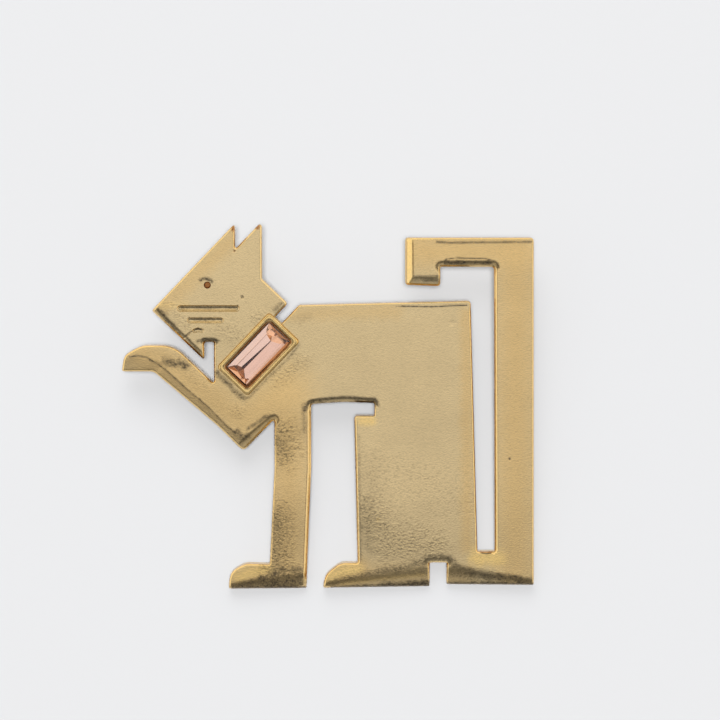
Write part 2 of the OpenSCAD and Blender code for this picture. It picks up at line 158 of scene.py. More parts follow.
def fromLine(x, v, line):
    # distance from each point to an open line of straight sides, and the share of the line's length there
    line = np.array(line, float)
    side = line[1:] - line[:-1]
    length = np.linalg.norm(side, axis=1)
    best = np.full(x.shape, np.inf)
    share = np.zeros(x.shape)
    for k in range(len(side)):
        dx, dv = x - line[k, 0], v - line[k, 1]
        t = np.clip((dx * side[k, 0] + dv * side[k, 1]) / length[k]**2, 0, 1)
        gap = np.hypot(dx - t * side[k, 0], dv - t * side[k, 1])
        closer = gap < best
        best = np.where(closer, gap, best)
        share = np.where(closer, (length[:k].sum() + t * length[k]) / length.sum(), share)
    return best, share


def smooth(low, high, value):
    # 0 below low, 1 above high, and an even S between them
    t = np.clip((value - low) / (high - low), 0, 1)
    return t * t * (3 - 2 * t)


def cloud(x, v, size, seed):
    # soft noise from -1 to 1: random values on a square lattice of the given size, blended by an S curve
    cells = clouds["cells"]
    lattice = np.random.default_rng(seed).uniform(-1, 1, (cells, cells))
    gx, gv = x / size + clouds["shift"][0], v / size + clouds["shift"][1]
    ix, iv = np.floor(gx).astype(int), np.floor(gv).astype(int)
    tx, tv = smooth(0, 1, gx - ix), smooth(0, 1, gv - iv)
    a, b = lattice[ix % cells, iv % cells], lattice[(ix + 1) % cells, iv % cells]
    c, d = lattice[ix % cells, (iv + 1) % cells], lattice[(ix + 1) % cells, (iv + 1) % cells]
    return (a * (1 - tx) + b * tx) * (1 - tv) + (c * (1 - tx) + d * tx) * tv


def makePiece(name, points, faceSets, layers, materials):
    # points in millimetres, arrays of faces with equal corner counts, and each point's values by layer name
    mesh = bpy.data.meshes.new(name)
    mesh.vertices.add(len(points))
    mesh.vertices.foreach_set("co", (points * mm).ravel())
    corners = np.concatenate([f.ravel() for f in faceSets])
    sizes = np.concatenate([np.full(len(f), f.shape[1]) for f in faceSets])
    mesh.loops.add(len(corners))
    mesh.loops.foreach_set("vertex_index", corners)
    mesh.polygons.add(len(sizes))
    mesh.polygons.foreach_set("loop_start", np.cumsum(sizes) - sizes)
    mesh.polygons.foreach_set("use_smooth", np.ones(len(sizes), bool))
    for material in materials:
        mesh.materials.append(material)
    mesh.update(calc_edges=True)
    for layer, values in layers.items():
        mesh.attributes.new(layer, "FLOAT", "POINT").data.foreach_set("value", values.astype(np.float32))
    if mesh.validate():
        print("mended", name)
    piece = bpy.data.objects.new(name, mesh)
    bpy.context.scene.collection.objects.link(piece)
    print("made", name, len(points), "points", len(sizes), "faces")
    return piece


def fillLoop(outer, hole, inner):
    # Delaunay triangles between an outer loop, an inner one and loose points, all turned anticlockwise
    loops = [outer] + ([hole] if hole is not None else [])
    flat = np.concatenate(loops + [inner])
    edges, base = [], 0
    for loop in loops:
        number = np.arange(len(loop))
        edges += np.stack([base + number, base + (number + 1) % len(loop)], axis=1).tolist()
        base += len(loop)
    found = geometry.delaunay_2d_cdt([Vector(p) for p in flat.tolist()], edges, [], 0, weld)
    came = np.array([origin[0] if origin else -1 for origin in found[3]])
    triangles = came[np.array(found[2])]
    middle = flat[triangles].mean(axis=1)
    keep = isInside(middle, outer)
    if hole is not None:
        keep &= ~isInside(middle, hole)
    triangles = triangles[keep]
    a, b, c = (flat[triangles[:, k]] for k in range(3))
    turn = (b[:, 0] - a[:, 0]) * (c[:, 1] - a[:, 1]) - (b[:, 1] - a[:, 1]) * (c[:, 0] - a[:, 0])
    triangles[turn < 0] = triangles[turn < 0][:, ::-1]
    return triangles


# Shader nodes

class Knot:
    # wraps a node's socket, so that an expression on values adds its Math nodes
    def __init__(self, tree, socket):
        self.tree = tree
        self.socket = socket

    def node(self, kind, settings, **values):
        # a node of any type: its settings first, then each input by name, with spaces as underscores
        made = self.tree.nodes.new(kind)
        for key, value in settings.items():
            if key == "interpolation":
                made.color_ramp.interpolation = value
            elif key == "stops":
                ramp = made.color_ramp.elements
                while len(ramp) < len(value):
                    ramp.new(1)
                for stop, (position, colour) in zip(ramp, value):
                    stop.position = position
                    stop.color = colour
            else:
                setattr(made, key, value)
        for key, value in values.items():
            name = key.lstrip("_").replace("_", " ")
            target = made.inputs[int(name)] if name.isdigit() else made.inputs[name]
            if isinstance(value, Knot):
                self.tree.links.new(value.socket, target)
            else:
                target.default_value = value
        return made

    def pick(self, kind, settings, output, **values):
        # one output of a node made that way
        return Knot(self.tree, self.node(kind, settings, **values).outputs[output])

    def math(self, operation, *others):
        # a Math node on this value and the others
        values = {"_%d" % k: value for k, value in enumerate((self,) + others)}
        return self.pick("ShaderNodeMath", {"operation": operation}, 0, **values)

    def __add__(self, other):
        return self.math("ADD", other)

    def __mul__(self, other):
        return self.math("MULTIPLY", other)

    def __sub__(self, other):
        return self.math("SUBTRACT", other)

    def __truediv__(self, other):
        return self.math("DIVIDE", other)

    def __rsub__(self, other):
        return (self * -1.0) + other

    __radd__ = __add__
    __rmul__ = __mul__

    def between(self, low, high):
        # 0 below low, 1 above high, with an even S between
        return self.pick("ShaderNodeMapRange", {"interpolation_type": "SMOOTHSTEP"}, 0,
                         Value=self, From_Min=low, From_Max=high)

    def blend(self, first, second):
        # a colour from first to second as this value goes from 0 to 1
        return self.pick("ShaderNodeMix", {"data_type": "RGBA"}, 2, _0=self, _6=first, _7=second)

    def vary(self, share, colour):
        # a colour whose brightness follows this noise, by that share from its darkest to its lightest
        return (1 - share / 2 + self * share).shade(colour)

    def shade(self, colour):
        # a colour made darker or lighter by this value
        first = colour if isinstance(colour, Knot) else colour[:3]
        return self.pick("ShaderNodeVectorMath", {"operation": "SCALE"}, 0, _0=first, Scale=self)


def newMaterial(name):
    # an empty material, and a Knot to add its nodes with
    material = bpy.data.materials.new(name)
    material.use_nodes = True
    material.node_tree.nodes.clear()
    return material, Knot(material.node_tree, None)


def finishMaterial(root, **values):
    # one Principled shader with these inputs is the material's surface
    root.node("ShaderNodeOutputMaterial", {}, Surface=root.pick("ShaderNodeBsdfPrincipled", {}, 0, **values))


def noise(root, where, size, detail, rough):
    # soft noise from 0 to 1, whose swells are about size millimetres apart
    return root.pick("ShaderNodeTexNoise", {}, 0, Vector=where, Scale=1 / (size * mm), Detail=detail,
                     Roughness=rough)


castLook = {
    "face": (0.745, 0.572, 0.312, 1),    # satin gold of the flat face
    "warm": (0.77, 0.535, 0.238, 1),     # where the plating is yellower
    "rubbed": (0.95, 0.67, 0.265, 1),    # bright gold where it is rubbed, and painted highlight on edges and lips that face the light
    "soot": (0.115, 0.092, 0.063, 1),    # olive brown of dirt in hollows, and painted shade along down-facing edges, in creases and over lower parts
    "copper": (0.40, 0.165, 0.055, 1),   # copper that shows along the rim and in the eye, and painted shade at the stone's edge inside the collar
    "roughness": 0.22,
    "rougher": (0.16, 0.1, 0.06),        # what soot and painted shade, copper and grain add to the roughness
    # noise: its size in millimetres, its detail and how rough it is
    "pebbles": (0.235, 3.0, 0.6),        # bumps of the rough casting
    "grain": (0.15, 2.0, 0.6),
    "drift": (3.1, 3.0, 0.5),            # slow change of the colour
    "speckle": (0.16, 3.0, 0.65),        # fine change of the colour and the dirt
    "pebbleShape": 0.78,                 # height of a bump to its length
    "pebbleHeight": 0.060,
    "grainHeight": 0.013,
    "dirtAndShade": (2.3, 1.4, 0.56),            # a soot-and-shade mark's strength: by speckle, less by pebbles, and everywhere
    "dirtAndShadeEdge": (0.0, 1.1),              # it starts and is full at these sums
    "hollows": (0.49, 0.52),             # pebbles under this height hold dirt, and how much
    "hollowEdge": (-0.02, 0.16),         # it starts and is full this far under that height
    "bareCopper": 0.5,                   # share of a mark's copper that needs no speckle
    "copperEdge": (0.12, 0.85),          # it starts and is full at these sums
    "light": (0.89, 0.12, 0.13),         # brightness: everywhere, by drift and by speckle
}
castLayers = ("soot", "rubbed", "copper", "pebble", "warm")


def castMetal():
    # worn gold plate over copper: the point layers say where it is dark with soot and painted shade, bright
    # with wear and painted highlight, coppery (also painted shade by the stone), pebbled or warm
    look = castLook
    material, root = newMaterial("castMetal")
    where = root.pick("ShaderNodeTexCoord", {}, "Object")
    soot, rubbed, copper, pebble, warm = (
        root.pick("ShaderNodeAttribute", {"attribute_name": name}, "Fac") for name in castLayers)
    pressed = root.pick("ShaderNodeMapping", {}, 0, Vector=where, Scale=(look["pebbleShape"], 1.0, 1.0))
    pebbles = noise(root, pressed, *look["pebbles"])
    grain, drift, speckle = (noise(root, where, *look[name]) for name in ("grain", "drift", "speckle"))
    bySpeckle, byPebbles, base = look["dirtAndShade"]
    soot = (soot * (bySpeckle * speckle - byPebbles * pebbles + base)).between(*look["dirtAndShadeEdge"])
    level, share = look["hollows"]
    soot = soot + (level - pebbles).between(*look["hollowEdge"]) * pebble * share * (1.0 - soot)
    copper = (copper * (look["bareCopper"] + speckle)).between(*look["copperEdge"])
    colour = warm.blend(look["face"], look["warm"])
    colour = rubbed.blend(colour, look["rubbed"])
    base, byDrift, bySpeckle = look["light"]
    colour = (base + drift * byDrift + speckle * bySpeckle).shade(colour)
    colour = soot.blend(colour, look["soot"])
    colour = copper.blend(colour, look["copper"])
    relief = pebbles * pebble * look["pebbleHeight"] + grain * look["grainHeight"]
    normal = root.pick("ShaderNodeBump", {}, "Normal", Height=relief, Strength=1.0, Distance=mm)
    bySootAndShade, byCopper, byGrain = look["rougher"]
    roughness = look["roughness"] + soot * bySootAndShade + copper * byCopper + (grain - 0.5) * byGrain
    finishMaterial(root, Base_Color=colour, Metallic=1.0, Roughness=roughness, Normal=normal)
    return material


# The cast figure

figureLook = {
    "outlineStep": 0.12,       # longest step along the outline
    "longSide": 1.2,           # a longer side of the outline stays straight
    "sharpTurn": 0.6,          # a corner of the outline stays sharp where the cosine of its turn is less
    # places whose outline is evened: x, v, radius and how often
    "soft": [(-11.3, 1.9, 1.6, 8), (-0.2, 1.9, 1.6, 8), (-23.2, 27.8, 2.4, 8), (-10.2, 16.6, 0.9, 6),
             (0, 20, 99, 2)],
    "softCore": 0.6,           # within this share of the radius it is evened in full
    "gridStep": 0.165,         # spacing of the points across the face
    "gridRow": 0.866,          # spacing of the grid's rows, as a share of that
    # rows of points along the edge, rings round a groove's line and rings in the eye, as shares of the edge
    # band's width, of the groove's width and of the eye's radius
    "bandRows": (0.12, 0.34, 0.6, 0.82, 0.95, 1.06, 1.3),
    "grooveRings": (0.05, 0.2, 0.33, 0.43, 0.49, 0.53),
    "eyeRings": (0.3, 0.6, 0.8, 0.9, 0.96, 1.02, 1.1),
    "ringStep": 0.09,          # spacing of the points along a groove's ring
    "ringLeast": 10,           # fewest points of a circle round a groove's end
    "ringSlack": 1e-4,         # a ring's points may be this much nearer to the groove's other sides
    "ringCount": 40,           # points of a ring in the eye
    # least distances from the outline: what a row may lack of its own, a ring's, the grid's past the rows
    "clear": (0.006, 0.03, 0.07),
    "grooveClear": 0.6,        # the grid keeps this share of a groove's width from its line
    "eyeClear": 1.2,           # and this share of the eye's radius from its middle
    "pitClear": 0.05,
    "band": 0.25,              # usual width of the bright band along an edge
    "bandEnd": (0.4, 1.0),     # a band of another width fades between these distances from its line
    "steep": 0.9,              # how far the band falls, as a share of its width
    "bandPower": 1.35,         # how round the band is
    "calm": (0.3, 1.5),        # the waves rise between these distances from the outline
    "waves": [(6.5, 0.012, 3), (2.6, 0.005, 5)],    # size, height and seed of the face's slight waves
    "wallRows": (0.0, 0.35, 0.75),    # heights up the side wall, as shares of it
    "backRound": 0.05,
    "backStep": 1.1,           # spacing of the points across the back
    "backClear": 0.4,          # and their distance from the outline
    "sharpAngle": 40,          # degrees from which an edge looks sharp
    # values for each of castLayers away from the face, and size, seed and share of the noise in them
    "wallLayers": (0.12, 0.35, 0.05, 0.05, 0.9),
    "wallCopper": 0.25,        # more copper up the side wall
    "backRimLayers": (0.1, 0.2, 0.1, 0.1, 0.5),
    "backLayers": (0.1, 0.0, 0.0, 0.15, 0.3),
    "pitLayers": (0.8, 0, 0.3, 0, 0),
    "patchy": (0.45, 21, 0.4),
}

backTriangles = figureTriangles[(toPlate(figurePoints)[figureTriangles][:, :, 2] < onPlane).all(axis=1)]
rim = toPlate(figurePoints[rimLoop(backTriangles)])[::-1, :2]
outline = smoothLoop(rim, *(figureLook[key] for key in ("outlineStep", "longSide", "sharpTurn")))
for x, v, radius, turns in figureLook["soft"]:
    core = figureLook["softCore"] * radius
    near = 1 - smooth(core, radius, np.hypot(outline[:, 0] - x, outline[:, 1] - v))
    for turn in range(turns):
        even = (np.roll(outline, 1, 0) + np.roll(outline, -1, 0) + outline) / 3
        outline = outline + (even - outline) * near[:, None]
plateT = np.median(toPlate(figurePoints)[figureTriangles][
    normals[:, 2] > facing * np.linalg.norm(normals, axis=1)][:, :, 2])
print("outline", len(outline), "points, lean %.2f degrees, plate %.3f mm" % (math.degrees(lean), plateT))


# The stone's place in the plate: middle, turn and size of its girdle
stonePoints = toPlate(cadArrays("stone")[0])
girdle = stonePoints[:, :2] - stonePoints[:, :2].mean(axis=0)
stoneTurn = math.atan2(*np.linalg.eigh(girdle.T @ girdle)[1][::-1, 1])
if math.cos(stoneTurn) < 0:
    stoneTurn += math.pi
collarMiddle = stonePoints[:, :2].mean(axis=0)


def toCollar(x, v):
    # distances along the collar and across it, from its middle
    dx, dv = x - collarMiddle[0], v - collarMiddle[1]
    return (dx * math.cos(stoneTurn) + dv * math.sin(stoneTurn),
            dv * math.cos(stoneTurn) - dx * math.sin(stoneTurn))


def fromCollar(along, across):
    # such distances back to the plate's x and v
    return (collarMiddle[0] + along * math.cos(stoneTurn) - across * math.sin(stoneTurn),
            collarMiddle[1] + along * math.sin(stoneTurn) + across * math.cos(stoneTurn))


stoneAlong, stoneAcross = toCollar(stonePoints[:, 0], stonePoints[:, 1])
stoneL, stoneW = np.ptp(stoneAlong), np.ptp(stoneAcross)
stoneTop = stonePoints[:, 2].max()
print("stone %.2f x %.2f mm, turned %.2f degrees" % (stoneL, stoneW, math.degrees(stoneTurn)))


def roundedRectangle(halfL, halfW, radius, count):
    # one loop, anticlockwise: each corner is a quarter circle, and the sides are stepped evenly
    steps = 8    # to a corner
    quarter = np.arange(steps + 1) / steps * math.pi / 2
    corners = [(halfL - radius, halfW - radius, 0), (radius - halfL, halfW - radius, 1),
               (radius - halfL, radius - halfW, 2), (halfL - radius, radius - halfW, 3)]
    arcs = [np.stack([x + radius * np.cos(quarter + k * math.pi / 2),
                      y + radius * np.sin(quarter + k * math.pi / 2)], axis=1) for x, y, k in corners]
    sides = []
    for k, arc in enumerate(arcs):
        following = arcs[(k + 1) % 4][0]
        t = (np.arange(1, count[k % 2]) / count[k % 2])[:, None]
        sides.append(np.concatenate([arc, arc[-1] * (1 - t) + following * t]))
    return np.concatenate(sides)


collarLook = {
    "outerL": 9.0, "outerW": 5.0,        # outside of the collar
    "radius": 0.42,
    "innerRadius": 0.46,
    "steps": (26, 52),                   # steps along its short and long sides
    # distance out from its outer face, height over the plate's back, and a value for each of castLayers
    "profile": [
        # the rim's top is rubbed gold with painted highlight; the foot is darker; the inner rows by the
        # stone are dark with painted shade
        (0.10, 1.50, 0.5, 0, 0, 0.1, 1), (0.09, 1.605, 0.5, 0, 0, 0.1, 1), (0.04, 1.63, 0.4, 0, 0, 0.1, 1),
        (0.005, 1.70, 0.2, 0.2, 0, 0.1, 1), (0.0, 1.85, 0, 0.4, 0, 0.1, 1), (0.0, 2.12, 0, 0.5, 0, 0.1, 1),
        (-0.02, 2.23, 0, 0.6, 0.2, 0.1, 1), (-0.07, 2.33, 0, 0.7, 0, 0.1, 1),
        (-0.13, 2.38, 0, 0.7, 0, 0.1, 1), (-0.21, 2.40, 0, 0.6, 0, 0.2, 1),
        (-0.36, 2.395, 0, 0.5, 0, 0.2, 1), (-0.45, 2.375, 0, 0.3, 0, 0.2, 1),
        (-0.51, 2.335, 0.1, 0, 0.3, 0.2, 1), (-0.58, 2.28, 0.2, 0, 0.8, 0.1, 1),
        (-0.66, 2.235, 0.1, 0, 1, 0.1, 1), (-0.73, 2.21, 0.3, 0, 1, 0.1, 1),
        (-0.77, 2.18, 0.8, 0, 1, 0, 1), (-0.77, 2.13, 1, 0, 1, 0, 1), (-0.70, 2.08, 1, 0, 1, 0, 1),
        (-0.62, 1.98, 0.6, 0, 1, 0, 1), (-0.62, 1.45, 0.6, 0, 1, 0, 1),
    ],
    "pitInset": 0.58,                    # the pit's wall stands this far in, hidden under the collar
    "pitFloor": 0.5,
}


def collarRing(inset):
    # the collar's rounded rectangle, moved in by inset, in the plate's x and v
    look = collarLook
    radius = look["radius"] if inset < look["pitInset"] else look["innerRadius"]
    loop = roundedRectangle(look["outerL"] / 2 - inset, look["outerW"] / 2 - inset, radius, look["steps"])
    return np.stack(fromCollar(loop[:, 0], loop[:, 1]), axis=1)


# Bands of another width along parts of the outline: a line on it and the width there
bands = [
    ([(-2.55, 21.2), (-2.85, 0.6)], 0.46),  # foreleg, right
    ([(-4.0, 17.0), (-11.0, 3.2)], 0.2),  # foreleg, left
    ([(3.5, 19.8), (3.75, 3.4)], 0.32),  # haunch, left
    ([(20.0, 37.6), (20.0, 4.8)], 0.4),  # tail, along the slot
    ([(24.5, 41.6), (24.5, 1.0)], 0.2),  # tail, right
    ([(13.3, 41.9), (24.5, 41.9)], 0.17),  # top of the hook
    ([(-3.0, 34.0), (16.6, 34.2)], 0.17),  # back
]
# Slopes along the outline: a line on it, widths at its two ends, depths there, and how round the slope is
# (1 is a flat bevel, 2 an even roll)
slopes = {
    "forefootSole": ([(-11.6, 0), (-2.7, 0)], 0.9, 2.3, 0.18, 0.66, 2.0),
    "haunchSole": ([(-0.5, 0.1), (12.0, 0.2)], 0.8, 3.1, 0.18, 0.8, 2.0),
    "blockSole": ([(14.2, 0.45), (24.4, 0.45)], 3.0, 0.9, 0.74, 0.18, 2.0),
    "belly": ([(-2.0, 22.2), (1.5, 22.45), (5.4, 22.33)], 0.62, 0.62, 0.22, 0.22, 1.4),
    "notchTop": ([(12.1, 3.1), (14.1, 3.1)], 0.7, 0.7, 0.22, 0.22, 1.4),
    "jaw": ([(-20.9, 33.3), (-14.8, 27.5)], 0.62, 0.55, 0.25, 0.22, 1.1),
    "mouthTop": ([(-14.7, 29.6), (-13.6, 29.6)], 0.5, 0.5, 0.18, 0.18, 1.3),
    "palm": ([(-24.5, 26.1), (-20.8, 26.1)], 1.75, 1.45, 0.12, 0.12, 1.1),
    "forearm": ([(-20.8, 26.1), (-13.3, 19.7), (-10.2, 16.6)], 1.15, 0.85, 0.085, 0.08, 1.0),
    "elbow": ([(-10.0, 16.7), (-6.5, 20.3)], 1.3, 0.7, 0.5, 0.3, 1.4),
    "hookBar": ([(13.4, 38.55), (19.6, 38.55)], 0.75, 0.75, 0.3, 0.3, 1.4),
    "hookEnd": ([(9.2, 36.4), (13.2, 36.3)], 1.05, 1.05, 0.36, 0.4, 1.2),
    "hookSide": ([(9.15, 36.7), (9.15, 41.9)], 0.95, 0.9, 0.56, 0.52, 1.05),
    "earLeft": ([(-11.2, 43.6), (-11.2, 43.7)], 0.9, 0.9, 0.06, 0.06, 1.0),
    "earRight": ([(-8.2, 43.8), (-8.2, 43.9)], 0.9, 0.9, 0.06, 0.06, 1.0),
}
# Slow swells of the casting: middle x and v, half width, half height and rise
swells = [
    (-4.5, 21.3, 4.0, 3.2, 0.11),  # over the foreleg
    (-6.0, 10.5, 4.5, 6.0, 0.24),  # lower foreleg
    (7.5, 9.0, 7.5, 5.5, 0.15),  # haunch
    (20.5, 9.0, 5.0, 6.0, 0.06),  # foot of the tail
    (21.0, 39.0, 9.0, 3.0, 0.06),  # top of the tail
    (5.0, 16.0, 2.5, 5.0, 0.06),  # left of the haunch
    (-11.0, 33.0, 6.0, 6.0, 0.06),  # cheek
    (-13.5, 24.0, 3.0, 3.0, 0.05),  # arm
]
# Grooves of the face: a line, its width and its depth
grooves = {
    "first": ([(-17.55, 33.63), (-10.9, 33.63)], 0.74, 0.2),
    "second": ([(-16.4, 32.21), (-12.75, 32.21)], 0.66, 0.17),
    "third": ([(-15.85, 30.98), (-15.45, 31.1), (-15.05, 31.0)], 0.5, 0.14),
    "mouthLine": ([(-16.0, 30.95), (-16.6, 30.6), (-17.1, 30.1)], 0.26, 0.05),
}
# The drilled eye: its place, radius and depth, and the width of its edge, in and out, in shape and in copper
eyeLook = {
    "at": (-14.33, 36.41), "radius": 0.38, "depth": 0.4, "edge": (0.06, 0.03), "copperEdge": (0.02, 0.06),
    "copper": (0.55, 0.45, 0.25),    # copper in its middle, more outwards, and how far out
}
# Small pits: x, v, radius and depth
pits = [(-10.2, 34.95, 0.17, 0.12), (21.6, 15.65, 0.13, 0.1), (14.75, 31.9, 0.5, 0.02),
        (5.9, 8.4, 0.3, 0.02), (-15.9, 35.1, 0.2, 0.01), (-11.15, 40.46, 0.2, 0.05)]


def bandWidth(x, v):
    # the usual width, changed to a band's own near its line
    width = np.full(x.shape, figureLook["band"])
    for line, there in bands:
        width += (there - figureLook["band"]) * (1 - smooth(*figureLook["bandEnd"], fromLine(x, v, line)[0]))
    return width


def fromEye(x, v):
    # distance from the middle of the eye
    return np.hypot(x - eyeLook["at"][0], v - eyeLook["at"][1])


def inEye(x, v, which):
    # 1 in the eye and 0 outside, with an even S across the edge that is asked for
    inside, outside = eyeLook[which]
    return 1 - smooth(eyeLook["radius"] - inside, eyeLook["radius"] + outside, fromEye(x, v))


def faceHeight(x, v, edge):
    # plate thickness, less the band at the edge, the slopes, the grooves, the eye and the pits
    look = figureLook
    width = bandWidth(x, v)
    height = plateT - look["steep"] * width * np.clip(1 - edge / width, 0, 1)**look["bandPower"]
    drop = np.zeros(x.shape)
    for line, width0, width1, depth0, depth1, power in slopes.values():
        gap, share = fromLine(x, v, line)
        width = width0 + (width1 - width0) * share
        depth = depth0 + (depth1 - depth0) * share
        drop = np.maximum(drop, depth * np.clip(1 - gap / width, 0, 1)**power)
    height = height - drop
    for sx, sv, wide, high, tall in swells:
        height = height + tall * np.exp(-((x - sx) / wide)**2 - ((v - sv) / high)**2)
    for line, width, depth in grooves.values():
        gap = fromLine(x, v, line)[0]
        height = height - depth * np.sqrt(np.clip(1 - (2 * gap / width)**2, 0, 1))
    height = height - eyeLook["depth"] * inEye(x, v, "edge")
    for px, pv, radius, depth in pits:
        height = height - depth * (1 - smooth(0, radius, np.hypot(x - px, v - pv)))
    calm = smooth(*look["calm"], edge)
    for size, tall, seed in look["waves"]:
        height = height + tall * calm * cloud(x, v, size, seed)
    return height
